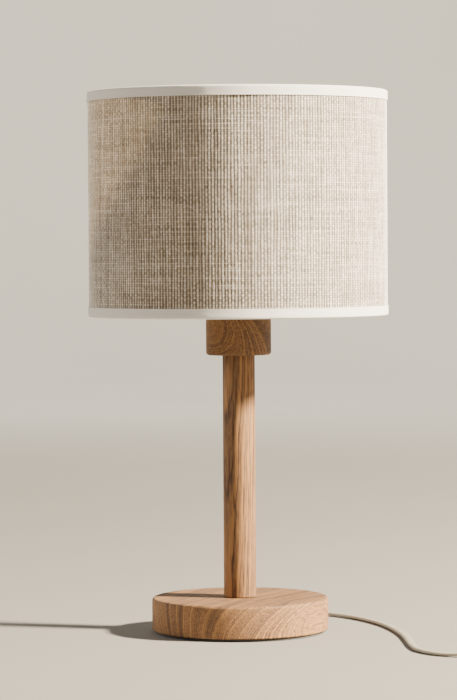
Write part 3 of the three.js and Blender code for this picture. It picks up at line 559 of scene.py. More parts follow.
def make_flex():
    """The lead out of the base settles onto its flat side, and the coil is wound on its edge."""
    path_a = spline(LEAD_A, 2.0)
    run = distance_along(path_a)
    settled = eased(run, 14, 75)
    path_a[:, 2] -= 1.2 * settled * (1 - eased(run, run[-1] - 40, run[-1] - 8))
    waves = np.random.default_rng(7).uniform(0, TAU, 4)
    wobble = sum(0.07 * np.sin(run / (34 + 21 * k) + waves[k]) for k in range(4))
    tilt_a = math.pi / 2 * settled + wobble * settled * (1 - eased(run, run[-1] - 30, run[-1]))
    lead_a = sweep("flex_to_switch", path_a, flex_section(), tilt=tilt_a)
    finish_piece(lead_a, "lamp", "flex", "cord_lead_a")

    path_b = spline([*LEAD_B, (289, -116.5, 3), *coil_points()[1:], *TAIL], 2.0)
    run = distance_along(path_b)
    tilt_b = math.pi / 2 * (1 - eased(run, 4, 42) + eased(run, run[-1] - 36, run[-1] - 8))
    lead_b = sweep("flex_to_plug", path_b, flex_section(), tilt=tilt_b)
    finish_piece(lead_b, "lamp", "flex", "cord_lead_b", "cord_coil", "cord_tail")
    return (lead_a, path_a), (lead_b, path_b)


def distance_along(path):
    return np.concatenate([[0], np.cumsum(np.linalg.norm(np.diff(path, axis=0), axis=1))])


(flex_a, path_a), (flex_b, path_b) = make_flex()


# ------------------------------------------------------------------ more shape helpers

def loft(name, rings, sharp_degrees=40):
    """A closed solid through rings of equally many points, capped at both ends."""
    count = len(rings[0])
    points = [p for ring in rings for p in ring]
    faces = []
    for i in range(len(rings) - 1):
        for k in range(count):
            n = (k + 1) % count
            faces.append((i * count + k, i * count + n, (i + 1) * count + n, (i + 1) * count + k))
    faces.append(tuple(reversed(range(count))))
    faces.append(tuple((len(rings) - 1) * count + k for k in range(count)))
    return mesh_object(name, points, faces, sharp_degrees)


def apply_modifiers(piece):
    """Turns what the modifiers show into the piece's own mesh."""
    evaluated = piece.evaluated_get(bpy.context.evaluated_depsgraph_get())
    mesh = bpy.data.meshes.new_from_object(evaluated)
    piece.modifiers.clear()
    piece.data = mesh
    mesh.polygons.foreach_set("use_smooth", [True] * len(mesh.polygons))
    mesh.set_sharp_from_angle(angle=math.radians(32))
    return piece


def carve(piece, *tools):
    """Cuts the tools out of a piece, and removes them."""
    for tool in tools:
        cut = piece.modifiers.new("cut", "BOOLEAN")
        cut.operation, cut.solver, cut.object = "DIFFERENCE", "EXACT", tool
    apply_modifiers(piece)
    for tool in tools:
        bpy.data.objects.remove(tool)
    return piece


def round_edges(piece, width, segments=3, degrees=30):
    bevel = piece.modifiers.new("round", "BEVEL")
    bevel.width, bevel.segments = width * MM, segments
    bevel.limit_method, bevel.angle_limit = "ANGLE", math.radians(degrees)
    return apply_modifiers(piece)


def prism(name, outline, low, high, centre=(0, 0, 0), axis="y"):
    """An outline of two coordinates pushed along an axis. The outline runs anticlockwise from its end."""
    def at(a, b, c):
        return {"x": (c, a, b), "y": (a, c, b), "z": (a, b, c)}[axis]
    order = list(outline) if axis != "y" else list(reversed(outline))
    rings = [[np.add(at(a, b, c), centre) for a, b in order] for c in (low, high)]
    return loft(name, rings)


def box_outline(half_width, half_height):
    return [(-half_width, -half_height), (half_width, -half_height), (half_width, half_height),
            (-half_width, half_height)]


def rod(name, radius, start, end, segments=24):
    """A round bar from one point to another, its ends rounded over."""
    start, end = np.array(start, float), np.array(end, float)
    along = (end - start) / np.linalg.norm(end - start)
    side = np.cross(along, (0, 0, 1)) if abs(along[2]) < 0.9 else np.array((1.0, 0, 0))
    side /= np.linalg.norm(side)
    third = np.cross(along, side)
    length, soft = np.linalg.norm(end - start), min(0.4, radius * 0.3)
    rings = []
    for at, size in ((0, radius - soft), (soft * 0.3, radius - soft * 0.3), (soft, radius),
                     (length - soft, radius), (length - soft * 0.3, radius - soft * 0.3),
                     (length, radius - soft)):
        rings.append([start + along * at + size * (side * math.cos(TAU * i / segments)
                      + third * math.sin(TAU * i / segments)) for i in range(segments)])
    return loft(name, rings)


def reshape(piece, change):
    """Moves a piece's points by a function of their angle, radius and height, in millimetres."""
    count = len(piece.data.vertices)
    flat = np.empty(count * 3)
    piece.data.vertices.foreach_get("co", flat)
    points = flat.reshape(-1, 3) / MM
    angle, radius = np.arctan2(points[:, 1], points[:, 0]), np.hypot(points[:, 0], points[:, 1])
    moved = change(angle, radius, points[:, 2])
    points[:, 0], points[:, 1] = moved * np.cos(angle), moved * np.sin(angle)
    piece.data.vertices.foreach_set("co", (points * MM).ravel())
    piece.data.update()
    return piece


# ------------------------------------------------------------------ base, stem and cup

def make_base():
    felt_radius, felt_top = span("base_felt")[1][0], span("base_felt")[1][2]
    pad = lathe("felt_pad", [(0, 0), (felt_radius - 0.4, 0), *arc(felt_radius - 0.5, 0.5, 0.5, -60, 0, 2),
                             *arc(felt_radius - 0.5, felt_top - 0.5, 0.5, 0, 80, 3), (0, felt_top)], 160)
    finish_piece(pad, "lamp", "felt", "base_felt")

    top_round, foot_round = 2.4, 1.1
    recess_radius, recess_top = 58, 12.3
    pocket_radius, pocket_top, tube_hole = 20, 21, 5.3
    disc = lathe("base_turned", [
        *arc(BASE_RADIUS - foot_round, BASE_BOTTOM + foot_round, foot_round, -90, 0, 6),
        *arc(BASE_RADIUS - top_round, BASE_TOP - top_round, top_round, 0, 90, 10),
        (BASE_RADIUS - 12, BASE_TOP), (tube_hole, BASE_TOP), (tube_hole, pocket_top),
        (pocket_radius, pocket_top), (pocket_radius, recess_top), (recess_radius, recess_top),
        (recess_radius, BASE_BOTTOM),
    ], 192)
    channel = rod("channel", 4.6, (0, recess_radius - 10, 8.2), (0, BASE_RADIUS + 10, 8.2), 32)
    carve(disc, channel)
    finish_piece(disc, "lamp", "wood", "base_disc", material="wood_base")


def make_stem():
    low, high = span("stem_post")[0][2], span("stem_post")[1][2]
    bore = 5.6
    post = lathe("post_turned", [
        (POST_RADIUS - 0.5, low), (POST_RADIUS, low + 0.5), (POST_RADIUS, (low + high) / 2),
        *arc(POST_RADIUS - 0.6, high - 0.6, 0.6, 0, 90, 3), (bore, high), (bore, low),
    ], 128)
    finish_piece(post, "lamp", "wood", "stem_post", material="wood_post")

    bottom, top, bore, floor, tube_hole = CUP_LOW[2], CUP_HIGH[2], 21.5, 6.3, 5.3
    foot = 2.6
    cup = lathe("cup_turned", [
        *arc(CUP_RADIUS - foot, bottom + foot, foot, -90, 0, 10),
        *arc(CUP_RADIUS - 1, top - 1, 1, 0, 90, 4), *arc(bore + 0.6, top - 0.6, 0.6, 90, 180, 3),
        (bore, bottom + floor), (tube_hole, bottom + floor), (tube_hole, bottom),
    ], 128)
    finish_piece(cup, "lamp", "wood", "holder_cup", material="wood_cup")


def make_strain_relief():
    """A ribbed, tapering sleeve that lets the flex bend where it leaves the wood."""
    start, end = span("strain_relief")[0][1], span("strain_relief")[1][1]
    height = 8.2
    face = BASE_RADIUS + 0.3
    ribs = []
    for i in range(5):
        at = face + 4.2 + i * 3.1
        size = 4.6 - 0.2 * i
        ribs += [(size, at), (size, at + 1.7), (size - 0.7, at + 2.1), (size - 0.7, at + 2.8)]
    profile = [(0, start), (4.0, start), (4.3, start + 0.4), (4.3, face), (5.6, face),
               *arc(5.2, face + 1.6, 0.8, 0, 90, 4), *ribs, (3.6, end - 0.6), (3.3, end), (0, end)]
    points, faces = lathe_data(profile, 48)
    points = [(x, z, height - y) for x, y, z in points]
    relief = mesh_object("flex_sleeve", points, faces)
    finish_piece(relief, "lamp", "flex", "strain_relief")


make_base()
make_stem()
make_strain_relief()


# ------------------------------------------------------------------ shade

WARP_YARNS = 298
WEFT_PITCH = 1.955
SEAM_ANGLE = math.pi / 2


def near_seam(angle, width):
    """1 within width millimetres of the seam at the back of the shade, falling smoothly to 0."""
    off = np.abs((angle - SEAM_ANGLE + math.pi) % TAU - math.pi) * FABRIC_RADIUS
    return 1 / (1 + np.exp((off - width) / 0.25))


def smooth_rows(shape, reach, axis):
    """Seeded noise of unit size, smoothed along one axis over about reach samples."""
    noise = rng.normal(size=shape)
    kernel = np.hanning(2 * reach + 3)[1:-1]
    pad = [(reach, reach) if k == axis else (0, 0) for k in range(2)]
    padded = np.pad(noise, pad, mode="wrap")
    smooth = np.apply_along_axis(lambda row: np.convolve(row, kernel, "valid"), axis, padded)
    return smooth / smooth.std()


def weave_fields(columns, rows):
    """Height and tone of every crossing, of every hole, and of the weft between two warps.

    Warp yarns stand upright and wefts run round; each has a thickness and a tone of its own, with
    slubs along it. A crossing shows whichever yarn is on top. A hole's tone is painted shade, and so
    is part of the weft's tone between two warps."""
    column, row = np.arange(columns)[:, None], np.arange(rows)[None, :]
    warp_over = (column + row) % 2 == 0
    warp_size = 0.5 * rng.normal(size=(columns, 1)) + 0.7 * smooth_rows((columns, rows), 5, 1)
    weft_size = 0.3 * rng.normal(size=(1, rows)) + 0.6 * smooth_rows((columns, rows), 6, 0)
    warp_tone = 0.7 * rng.normal(size=(columns, 1)) + 0.7 * smooth_rows((columns, rows), 7, 1)
    weft_tone = 0.35 * rng.normal(size=(1, rows)) + 0.6 * smooth_rows((columns, rows), 8, 0)
    height = np.where(warp_over, 0.24 + 0.08 * warp_size, 0.16 + 0.07 * weft_size)
    tone = np.where(warp_over, 0.88 + 0.11 * warp_tone, 0.74 + 0.10 * weft_tone)
    tone += 0.06 * rng.normal(size=tone.shape)
    # The weft dips between two warps; its lower tone is yarn tone and painted shade.
    bridge_height = -0.18 + 0.06 * weft_size
    bridge_tone_and_painted_shade = 0.42 + 0.11 * weft_tone + 0.07 * rng.normal(size=tone.shape)
    fullness = warp_size + np.roll(warp_size, -1, 0)
    fullness = (fullness + weft_size)[:, :-1] + weft_size[:, 1:]
    hole_height = -0.46 + 0.05 * np.clip(fullness, -2, 3)
    # A hole is painted near black, lighter where fuller yarns close it: painted shade.
    hole_painted_shade = 0.02 + 0.04 * fullness + 0.08 * rng.normal(size=fullness.shape)
    return (height, tone), (bridge_height, bridge_tone_and_painted_shade), (hole_height, hole_painted_shade)


def make_fabric():
    """The linen as a woven relief: a point on each crossing and between warps, and a pit in each hole."""
    rows = int((FABRIC_TOP - FABRIC_BOTTOM - 1) / WEFT_PITCH) + 1
    columns = WARP_YARNS
    crossing, bridge, hole = weave_fields(columns, rows)
    first = (FABRIC_BOTTOM + FABRIC_TOP - (rows - 1) * WEFT_PITCH) / 2
    wander = 0.20 * smooth_rows((columns, rows), 12, 1)
    sway = 0.15 * smooth_rows((columns, rows), 12, 0)
    angle = TAU * (np.arange(columns)[:, None] + wander / 2.64) / columns
    level = first + WEFT_PITCH * np.arange(rows)[None, :] + sway
    base = FABRIC_RADIUS - 0.1

    def relief_points(angles, levels, heights):
        """Points on the shade's outside, the weave pressed flat beneath the tapes."""
        from_edge = np.minimum(levels - SHADE_BOTTOM, SHADE_TOP - levels)
        shown = 1 / (1 + np.exp((TAPE_WIDTH - 0.4 - from_edge) / 0.3))
        radii = base + heights * shown + 0.3 * near_seam(angles, 5)
        return np.stack([radii * np.cos(angles), radii * np.sin(angles), levels], -1).reshape(-1, 3)

    next_angle = np.roll(angle, -1, 0) + TAU * (np.arange(columns)[:, None] == columns - 1)
    bridge_angle, bridge_level = (angle + next_angle) / 2, (level + np.roll(level, -1, 0)) / 2
    hole_angle = (bridge_angle[:, :-1] + bridge_angle[:, 1:]) / 2
    hole_level = (bridge_level[:, :-1] + bridge_level[:, 1:]) / 2

    rim_angle = TAU * np.arange(columns) / columns
    rims = [np.stack([radius * np.cos(rim_angle), radius * np.sin(rim_angle), np.full(columns, at)], -1)
            for radius, at in ((base, FABRIC_BOTTOM), (FABRIC_RADIUS - 0.78, FABRIC_BOTTOM),
                               (FABRIC_RADIUS - 0.78, FABRIC_TOP), (base, FABRIC_TOP))]
    points = np.vstack([relief_points(angle, level, crossing[0]),
                        relief_points(bridge_angle, bridge_level, bridge[0]),
                        relief_points(hole_angle, hole_level, hole[0]), *rims])
    bridges_from, holes_from = columns * rows, 2 * columns * rows
    rims_from = holes_from + columns * (rows - 1)

    faces = []
    for i in range(columns):
        n = (i + 1) % columns
        for j in range(rows - 1):
            here, right = i * rows + j, n * rows + j
            under = bridges_from + i * rows + j
            pit = holes_from + i * (rows - 1) + j
            faces += [(here, pit, here + 1), (right, right + 1, pit), (here, under, pit),
                      (under, right, pit), (pit, under + 1, here + 1), (pit, right + 1, under + 1)]
        low, low_in, high_in, high = (rims_from + k * columns for k in range(4))
        foot, foot_right, foot_bridge = i * rows, n * rows, bridges_from + i * rows
        brow, brow_right, brow_bridge = foot + rows - 1, foot_right + rows - 1, foot_bridge + rows - 1
        faces += [(low + i, low + n, foot_right, foot_bridge, foot),
                  (brow, brow_bridge, brow_right, high + n, high + i),
                  (high + i, high + n, high_in + n, high_in + i),
                  (high_in + i, high_in + n, low_in + n, low_in + i),
                  (low_in + i, low_in + n, low + n, low + i)]
    fabric = mesh_object("linen_skin", points, faces, 180)
    smooth = np.ones((columns, len(faces) // columns), bool)
    smooth[:, -3:] = False  # the rims and the wall inside, whose normals the rims would tilt
    fabric.data.polygons.foreach_set("use_smooth", smooth.ravel())
    # The bridges' and holes' tones carry painted shade.
    tone = np.concatenate([crossing[1].ravel(), bridge[1].ravel(), hole[1].ravel(),
                           np.full(4 * columns, 0.6)])
    fabric.data.attributes.new("tone", "FLOAT", "POINT").data.foreach_set(
        "value", np.clip(tone, 0.0, 1.0).astype(np.float32))
    return finish_piece(fabric, "shade", "linen", "shade_fabric")


def tape_profile():
    """The folded tape's outline, from its stitched outer edge round the rim and up behind the ring."""
    outer = SHADE_RADIUS - 0.25
    knots = [(outer, TAPE_WIDTH), (outer, 5.0), (outer, 1.9), (outer - 0.2, 0.85), (outer - 0.9, 0.34),
             (outer - 2.6, 0.26), (outer - 4.2, 0.45), (outer - 5.4, 1.15), (outer - 5.95, 2.3),
             (outer - 5.9, 3.5), (outer - 5.6, 4.2)]
    line = spline([(x, y, 0) for x, y in knots], 0.45)[:, :2]
    tangent = np.gradient(line, axis=0)
    tangent /= np.linalg.norm(tangent, axis=1)[:, None]
    normal = np.stack([-tangent[:, 1], tangent[:, 0]], 1)
    run = distance_along(line)
    thick = 0.20 + 0.16 * np.exp(-(run / 0.55) ** 2) + 0.03 * np.exp(-((run - run[-1]) / 0.5) ** 2)
    thick[0] *= 0.55
    thick[-1] *= 0.5
    return [*map(tuple, line + normal * thick[:, None]), *map(tuple, (line - normal * thick[:, None])[::-1])]


def make_tapes():
    tapes = []
    for name, node, flip in (("tape_bottom", "bottom_trim", False), ("tape_top", "top_trim", True)):
        profile = tape_profile()
        if flip:
            profile = [(r, SHADE_TOP - z) for r, z in profile]
        else:
            profile = [(r, SHADE_BOTTOM + z) for r, z in reversed(profile)]
        tape = lathe(name, profile, 288, 55)
        waves = rng.uniform(0, TAU, 5)

        def settle(angle, radius, height):
            ripple = sum(0.028 * np.sin((7 + 9 * k) * angle + waves[k] + 0.12 * height) for k in range(5))
            return radius + ripple + 0.22 * near_seam(angle, 4) * (radius > SHADE_RADIUS - 2)

        reshape(tape, settle)
        tapes.append(finish_piece(tape, "shade", "tape", node))
    return tapes


def make_shade_frame():
    liner = lathe("styrene_liner", [
        (LINER_RADIUS, FABRIC_BOTTOM), (LINER_RADIUS, FABRIC_TOP), (LINER_RADIUS - 0.5, FABRIC_TOP),
        (LINER_RADIUS - 0.5, (FABRIC_BOTTOM + FABRIC_TOP) / 2), (LINER_RADIUS - 0.5, FABRIC_BOTTOM),
    ], 256)
    inside = LINER_RADIUS - 0.2
    reshape(liner, lambda angle, radius, height: radius - 0.3 * near_seam(angle, 6) * (radius < inside))
    finish_piece(liner, "shade", "liner", "shade_liner")

    wire = 1.5
    for name, node in (("wire_ring_top", "top_ring"), ("wire_ring_bottom", "bottom_ring")):
        low, high = span(node)
        ring = lathe(name, arc(RING_RADIUS, (low[2] + high[2]) / 2, wire, 0, 345, 15)[:16], 192, 60)
        finish_piece(ring, "shade", "white_paint", node)

    low, high = span("spider_fitter")
    outer, inner, edge = high[0], 21, 0.5
    fitter = lathe("fitter_plate", [
        *arc(outer - edge, low[2] + edge, edge, -90, 0, 3),
        *arc(outer - edge, high[2] - edge, edge, 0, 90, 3),
        *arc(inner + edge, high[2] - edge, edge, 90, 180, 3),
        *arc(inner + edge, low[2] + edge, edge, 180, 270, 3),
    ], 128)
    finish_piece(fitter, "shade", "white_paint", "spider_fitter")

    arm_high, arm_low = (low[2] + high[2]) / 2, span("bottom_ring")[1][2] + 0.45 + 1.6
    start, reach = outer + 0.3, RING_RADIUS + 1
    for i, degrees in enumerate((90, 210, 330)):
        line = spline([(start, 0, arm_high), (start + 5, 0, arm_high), (start + 12, 0, arm_high - 1.2),
                       (60, 0, arm_high - 8.5), (85, 0, arm_high - 15), (108, 0, arm_low + 1.4),
                       (115, 0, arm_low), (reach, 0, arm_low)], 2.5)
        turn = math.radians(degrees)
        line = [(x * math.cos(turn), x * math.sin(turn), z) for x, _, z in line]
        arm = sweep(f"arm_{i + 1}", line, circle_section(1.55, 20))
        finish_piece(arm, "shade", "white_paint", f"spider_arm_{i + 1}")


linen_skin = make_fabric()
tapes = make_tapes()
make_shade_frame()


# ------------------------------------------------------------------ lampholder, clamp ring and bulb

def make_holder():
    low, high = span("holder_shell")
    outer, depth, pitch = high[0], 0.8, 2.6
    thread = []
    z = low[2] + 12
    while z < high[2] - 2.5:
        thread += [(outer - depth, z), (outer - 0.15, z + 0.8), (outer, z + 1.1), (outer - 0.15, z + 1.4)]
        z += pitch
    shell = lathe("holder_thread", [
        (outer - 0.4, low[2]), (outer, low[2] + 0.4), (outer, low[2] + 11), *thread,
        (outer - depth, high[2] - 0.6), (outer - depth - 0.6, high[2]),
        (16.9, high[2]), (16.6, high[2] - 0.3),
        (16.6, 296), (15, 294.5), (15, 266.9), (18, 266.9), (18, low[2]),
    ], 96)
    finish_piece(shell, "lamp", "holder_plastic", "holder_shell")

    low, high = span("holder_base")
    wall, radius = 2, high[0]
    cap = lathe("holder_cap", [
        *arc(radius - 1.6, low[2] + 1.6, 1.6, -90, 0, 6), (radius, high[2] - 0.3), (radius - 0.3, high[2]),
        (radius - wall, high[2]), (radius - wall, low[2] + 3), (5.3, low[2] + 3), (5.3, low[2]),
    ], 96)
    finish_piece(cap, "lamp", "holder_plastic", "holder_base")


def make_clamp_ring():
    low, high = span("clamp_ring")
    radius, bore, grips, depth = 28.5, 20.2, 28, 0.85
    ring = lathe("clamp_collar", [
        (radius - 0.5, low[2]), (radius, low[2] + 0.5), (radius, high[2] - 1.2),
        *arc(radius - 1.2, high[2] - 1.2, 1.2, 0, 90, 5), (bore + 0.5, high[2]), (bore, high[2] - 0.5),
        (bore, low[2]),
    ], grips * 16, 50)

    def cut_grips(angle, r, height):
        return r - depth * (0.5 + 0.5 * np.cos(grips * angle)) ** 4 * (r > radius - 3)

    reshape(ring, cut_grips)
    finish_piece(ring, "clamp_ring", "holder_plastic", "clamp_ring")


def make_bulb():
    tip, top = span("bulb_tip_contact")[0][2], span("bulb_glass")[1][2]
    cap_low, cap_top = span("bulb_screw_shell")[0][2], span("bulb_screw_shell")[1][2]
    cap_radius = span("bulb_screw_shell")[1][0]
    radius = 30
    globe = top - radius
    neck, wall = 11.7, 0.8
    outer_knots = [(neck, cap_top - 8), (neck, cap_top - 1), (neck + 0.6, cap_top + 1.5),
                   (14.2, cap_top + 7), (17.4, cap_top + 17), (22.0, cap_top + 25)]
    outer = [(x, y) for x, y, _ in spline([(x, y, 0) for x, y in outer_knots], 1.6)]
    outer += arc(0, globe, radius, -38, 90, 26)
    inner = [(max(r - wall, 0.0), z) for r, z in outer[:-27]]
    inner = arc(0, globe, radius - wall, 90, -38, 26) + inner[::-1]
    glass = lathe("bulb_envelope", outer + inner, 96, 60)
    finish_piece(glass, "bulb", "opal_glass", "bulb_glass")

    thread, z = [], cap_low + 1.2
    while z < cap_top - 4:
        thread += [(cap_radius - 0.65, z), (cap_radius - 0.2, z + 0.9), (cap_radius, z + 1.6),
                   (cap_radius - 0.2, z + 2.3), (cap_radius - 0.65, z + 3.1)]
        z += 3.63
    shell = lathe("bulb_cap", [
        (cap_radius - 0.8, cap_low), *thread, (cap_radius - 0.5, cap_top - 1.5), (cap_radius - 0.2, cap_top),
        (cap_radius - 1.1, cap_top), (cap_radius - 1.1, cap_low),
    ], 72)
    finish_piece(shell, "bulb", "nickel", "bulb_screw_shell")
    contact = lathe("bulb_tip", [(0, tip), (1.8, tip + 0.05), (3.3, tip + 0.35), (4.3, tip + 0.9),
                                 (4.6, tip + 1.4), (0, tip + 1.4)], 40)
    finish_piece(contact, "bulb", "nickel", "bulb_tip_contact")


make_holder()
make_clamp_ring()
make_bulb()


# ------------------------------------------------------------------ switch, plug and tie

def dome_ring(x, half_width, low, high, squareness, count=26):
    """A half outline across the switch: flat on its parting line and domed away from it."""
    ring = []
    for i in range(count + 1):
        angle = math.pi * i / count
        y = half_width * math.copysign(abs(math.cos(angle)) ** (2 / squareness), math.cos(angle))
        z = low + (high - low) * abs(math.sin(angle)) ** (2 / squareness)
        ring.append((x, y, z))
    return ring


def mirrored(values):
    """The values, and then the same ones backwards from the last but one."""
    return [*values, *values[-2::-1]]


def make_switch():
    low, high = span("switch_lower")
    split, top = high[2], 15.5
    cx, cy = (low[0] + high[0]) / 2, (low[1] + high[1]) / 2
    half = (high[0] - low[0]) / 2
    left = [0.5 - half, 3 - half, 7 - half, 12 - half, 17 - half, -9]
    stations = [-half, *left, 0, *(-x for x in left[::-1]), half]
    widths = mirrored([4.6, 5.2, 5.8, 7.4, 9.7, 10.8, 11, 11])
    tops = mirrored([9.4, 10.0, 10.5, 12.0, 14.3, 15.3, 15.5, 15.5])
    lows = mirrored([1.4, 0.9, 0.6, 0.35, 0.1, 0, 0, 0])
    upper = loft("switch_cover", [[np.add(p, (cx, cy, 0)) for p in dome_ring(x, w, split + 0.3, t, 3.4)]
                                  for x, w, t in zip(stations, widths, tops)])
    lower = loft("switch_tray", [[np.add(p, (cx, cy, 0)) for p in dome_ring(x, w, split, b, 3.8)][::-1]
                                 for x, w, b in zip(stations, widths, lows)])
    window = prism("window", box_outline(11.9, 5.5), split - 2, top + 5, (cx, cy, 0), "z")
    axle_hole = rod("axle_hole", 1.5, (cx, cy - 8, 13.2), (cx, cy + 8, 13.2))
    screw_holes = [rod(f"hole_{i}", 1.5, (cx + x, cy + y, -1), (cx + x, cy + y, 12.3))
                   for i, (x, y) in enumerate(((-14, 7.6), (14, -7.6)))]
    carve(upper, window, axle_hole, *screw_holes)
    screw_holes = [rod(f"hole_{i}", size, (cx + x, cy + y, -1), (cx + x, cy + y, end))
                   for i, (x, y, size, end) in enumerate(((-14, 7.6, 1.5, 9), (14, -7.6, 1.5, 9),
                                                          (-14, 7.6, 2.7, 2.5), (14, -7.6, 2.7, 2.5)))]
    cavity = prism("cavity", box_outline(20, 5), 2, split + 2, (cx, cy, 0), "z")
    carve(lower, cavity, *screw_holes)
    finish_piece(upper, "lamp", "switch_plastic", "switch_upper")
    finish_piece(lower, "lamp", "switch_plastic", "switch_lower")

    tilt, pivot = math.radians(10), 13.2
    outline = [(-11, -1), (-3, -3.2), (3, -3.2), (11, -1), (11, 4.1), (7.5, 3.5), (3.5, 2.8), (0, 2.6),
               (-3.5, 2.8), (-7.5, 3.5), (-11, 4.1)]
    turned = [(x * math.cos(tilt) + z * math.sin(tilt), z * math.cos(tilt) - x * math.sin(tilt))
              for x, z in outline]
    rocker = round_edges(prism("rocker", turned, -5, 5, (cx, cy, pivot)), 0.5)
    mark_at, mark_height, mark_sunk = -7.2, 3.4, 2.4
    mark_x = cx + mark_at * math.cos(tilt) + mark_height * math.sin(tilt)
    mark_z = pivot + mark_height * math.cos(tilt) - mark_at * math.sin(tilt) - mark_sunk
    carve(rocker, prism("mark", box_outline(0.45, 2.2), 2.2, 4.1, (mark_x, cy, mark_z), "z"))
    pins = rod("rocker_axle", 1.2, (cx, cy - 7.4, pivot), (cx, cy + 7.4, pivot))
    finish_piece(rocker, "switch_rocker", "switch_plastic", "switch_rocker")
    finish_piece(pins, "switch_rocker", "switch_plastic")
    return [upper, lower, rocker, pins]


def oval_ring(centre, half_width, half_height, squareness, count=48):
    ring = []
    for i in range(count):
        angle = TAU * i / count
        x = half_width * math.copysign(abs(math.cos(angle)) ** (2 / squareness), math.cos(angle))
        z = half_height * math.copysign(abs(math.sin(angle)) ** (2 / squareness), math.sin(angle))
        ring.append((centre[0] + x, centre[1], centre[2] + z))
    return ring[::-1]


def make_plug():
    low, high = span("plug_body")
    cx, mid = (low[0] + high[0]) / 2, (low[2] + high[2]) / 2
    back, front = low[1], high[1]
    half_width, half_height = (high[0] - low[0]) / 2, (high[2] - low[2]) / 2
    rings = [(0, 3.2, 2.9, 2.2), (0.4, 3.8, 3.4, 2.2)]
    for i in range(4):
        at = 1.2 + i * 2.6
        size = 4.0 + 0.22 * i
        rings += [(at, size, size - 0.4, 2.4), (at + 1.5, size + 0.1, size - 0.3, 2.4),
                  (at + 1.8, size - 0.6, size - 1.0, 2.4), (at + 2.4, size - 0.6, size - 0.9, 2.4)]
    rings += [(12.0, 5.6, 4.8, 2.6), (14.5, 8.8, 5.7, 2.8), (17.5, 12.6, 6.3, 3.0), (21, 15.6, 6.7, 3.4),
              (26, 17.2, half_height, 3.8), (31, half_width, half_height, 4.0),
              (38.6, half_width - 0.2, half_height, 4.2), (40.3, half_width - 0.7, half_height - 0.4, 4.2),
              (front - back, half_width - 1.7, half_height - 1.3, 4.2)]
    body = loft("plug_moulding", [oval_ring((cx, back + at, mid), w, t, n) for at, w, t, n in rings])
    holes = []
    for node in ("plug_pin_live", "plug_pin_neutral"):
        pin_low, pin_high = span(node)
        x = (pin_low[0] + pin_high[0]) / 2
        holes.append(rod("hole", 2.3, (x, front - 9.5, mid), (x, front + 5, mid)))
    carve(body, *holes)
    finish_piece(body, "lamp", "switch_plastic", "plug_body")
    pieces = [body]
    for node in ("plug_pin_live", "plug_pin_neutral"):
        pin_low, pin_high = span(node)
        x = (pin_low[0] + pin_high[0]) / 2
        points, faces = lathe_data([
            (0, pin_low[1]), (1.95, pin_low[1]), (1.95, front + 10), (2.0, front + 10.2),
            (2.0, pin_high[1] - 1.6), (1.7, pin_high[1] - 0.7), (1.0, pin_high[1] - 0.1), (0, pin_high[1]),
        ], 32)
        pin = mesh_object(node.replace("plug_", ""), [(x + a, c, mid - b) for a, b, c in points], faces)
        pieces.append(finish_piece(pin, "lamp", "nickel", node))
    return pieces


def make_tie():
    """A strap round all the turns, closed on itself."""
    low, high = span("coil_tie")
    near_x, far_x, bottom, top = low[0] + 0.4, high[0] - 0.4, low[2] + 0.4, high[2] - 0.45
    cy = (low[1] + high[1]) / 2
    corner = 1.6
    loop = [*arc(far_x - corner, bottom + corner, corner, -90, 0, 5),
            *arc(far_x - corner, top - corner, corner, 0, 90, 5),
            *arc(near_x + corner, top - corner, corner, 90, 180, 5),
            *arc(near_x + corner, bottom + corner, corner, 180, 270, 5)]
    path = [(x, cy, z) for x, z in loop]
    strap = [(-3.9, -0.28), (-3.6, -0.36), (3.6, -0.36), (3.9, -0.28), (3.9, 0.28), (3.6, 0.36),
             (-3.6, 0.36), (-3.9, 0.28)]
    count = len(strap)
    points, faces = [], []
    for i, (x, _, z) in enumerate(path):
        ahead, behind = path[(i + 1) % len(path)], path[i - 1]
        tangent = np.array((ahead[0] - behind[0], 0, ahead[2] - behind[2]))
        tangent /= np.linalg.norm(tangent)
        normal = np.array((tangent[2], 0, -tangent[0]))
        points += [np.array((x, cy + a, z)) + normal * b for a, b in strap]
        for k in range(count):
            n, nxt = (k + 1) % count, (i + 1) % len(path)
            faces.append((i * count + k, i * count + n, nxt * count + n, nxt * count + k))
    tie = mesh_object("coil_strap", points, faces)
    return finish_piece(tie, "lamp", "strap", "coil_tie")


switch_pieces = make_switch()
plug_pieces = make_plug()
tie = make_tie()


# ------------------------------------------------------------------ finishes of the nodes kept from CAD

KEPT_NODES = {
    "steel": ("base_weight", "weight_screw_1", "weight_screw_2", "weight_screw_3", "base_washer", "base_nut",
              "threaded_tube", "cup_washer", "cup_nut", "switch_screw_1", "switch_screw_2"),
    "flex": ("inner_flex",), "core_brown": ("live_core",), "core_blue": ("neutral_core",),
    "insulator": ("holder_insert",),
    "brass": ("holder_thread_sleeve", "centre_contact", "side_contact", "terminal_screw_1",
              "terminal_screw_2", "switch_contact"),
    "black_glass": ("bulb_insulator",), "stem_glass": ("bulb_stem",),
    "phosphor": ("led_filament_1", "led_filament_2", "led_filament_3", "led_filament_4"),
}
for finish, nodes in KEPT_NODES.items():
    for node in nodes:
        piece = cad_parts[node]
        for material_slot in piece.material_slots:
            material_slot.material = MATERIALS[finish]


# ------------------------------------------------------------------ floor and light

BACK_GLOW, FRONT_GLOW = 0.78, 0.10
WALL_TINT = (1.0, 0.905, 0.715)  # the wall behind the lamp
SIDE_TINT = (0.66, 0.72, 0.84)   # the walls beside it, as cool as open shade


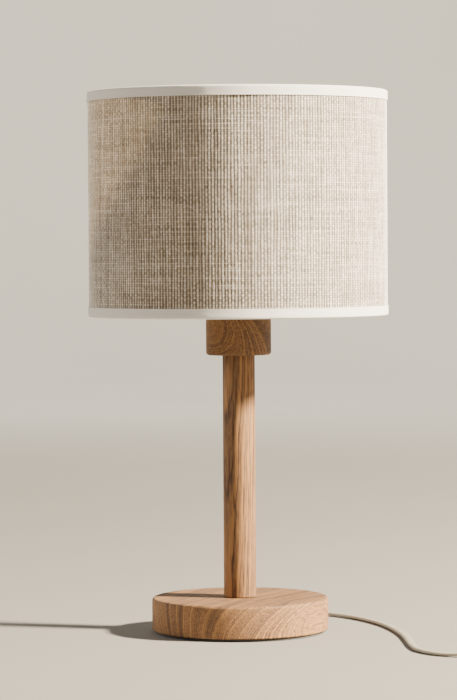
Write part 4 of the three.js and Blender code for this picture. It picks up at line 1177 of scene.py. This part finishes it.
def make_stage():
    """A floor that sweeps up into a wall all round. Far from the lamp it glows softly of itself."""
    wall, corner, wall_top, skirt = 6000, 1250, 4000, 60
    bend = arc(wall - corner, corner, corner, -90, 0, 14)
    cove = mesh_object("cove", *lathe_data(
        [(0, -skirt), (wall + skirt, -skirt), (wall + skirt, wall_top), (wall, wall_top), *bend[::-1],
         (900, -0.05), (0, -0.05)], 128), 60)
    paint = Shader("cove_paint", roughness=0.8)
    here = paint.place()
    cloud = paint.noise(here, 0.55, 4.0, 0.55)
    paint.colour(paint.ramp(cloud, (0.3, (0.230, 0.221, 0.206)), (0.7, (0.252, 0.242, 0.226))))
    x, y, _ = paint.split(here)
    out = paint.put("VectorMath", {"operation": "LENGTH"}, {0: paint.put("CombineXYZ", {}, {0: x, 1: y})},
                    "Value")
    far = paint.fit(out, 0.3, 4.2, smooth=True)
    back = paint.fit(y, 0.0, 3.6, FRONT_GLOW, BACK_GLOW, smooth=True)
    mottle = paint.fit(cloud, 0.3, 0.7, 0.90, 1.08)
    glow = paint.math("MULTIPLY", paint.math("MULTIPLY", far, back), mottle)
    beside = paint.fit(paint.math("ABSOLUTE", x), 0.9, 2.2, smooth=True)
    tint = paint.mix(beside, rgb(*WALL_TINT), rgb(*SIDE_TINT))
    paint.tree.links.new(tint, paint.surface.inputs["Emission Color"])
    paint.tree.links.new(glow, paint.surface.inputs["Emission Strength"])
    cove.data.materials.append(paint.material)

    world = bpy.data.worlds.new("studio")
    bpy.context.scene.world = world
    world.use_nodes = True
    world.node_tree.nodes["Background"].inputs["Color"].default_value = rgb(0.66, 0.75, 0.86)
    world.node_tree.nodes["Background"].inputs["Strength"].default_value = 0.035


def area_light(name, azimuth, elevation, distance, size, power, colour, aim=(0, 0, 0.26)):
    """A soft light round the lamp. Azimuth 0 is the front and 90 the right."""
    data = bpy.data.lights.new(name, "AREA")
    data.shape, data.size, data.energy, data.color = "DISK", size, power, colour
    light = bpy.data.objects.new(name, data)
    bpy.context.scene.collection.objects.link(light)
    a, e = math.radians(azimuth), math.radians(elevation)
    offset = np.array((math.sin(a) * math.cos(e), -math.cos(a) * math.cos(e), math.sin(e))) * distance
    light.location = np.array(aim) + offset
    light.rotation_euler = (math.pi / 2 - e, 0, a)
    light.visible_camera = False


make_stage()
area_light("key", 74, 31, 3.5, 0.40, 1190, (1.0, 0.86, 0.655), (0, 0, 0.35))
area_light("fill", -58, 24, 2.4, 1.2, 4, (0.34, 0.56, 1.0))
area_light("rim", -108, 22, 2.4, 0.6, 22, (1.0, 0.86, 0.66))
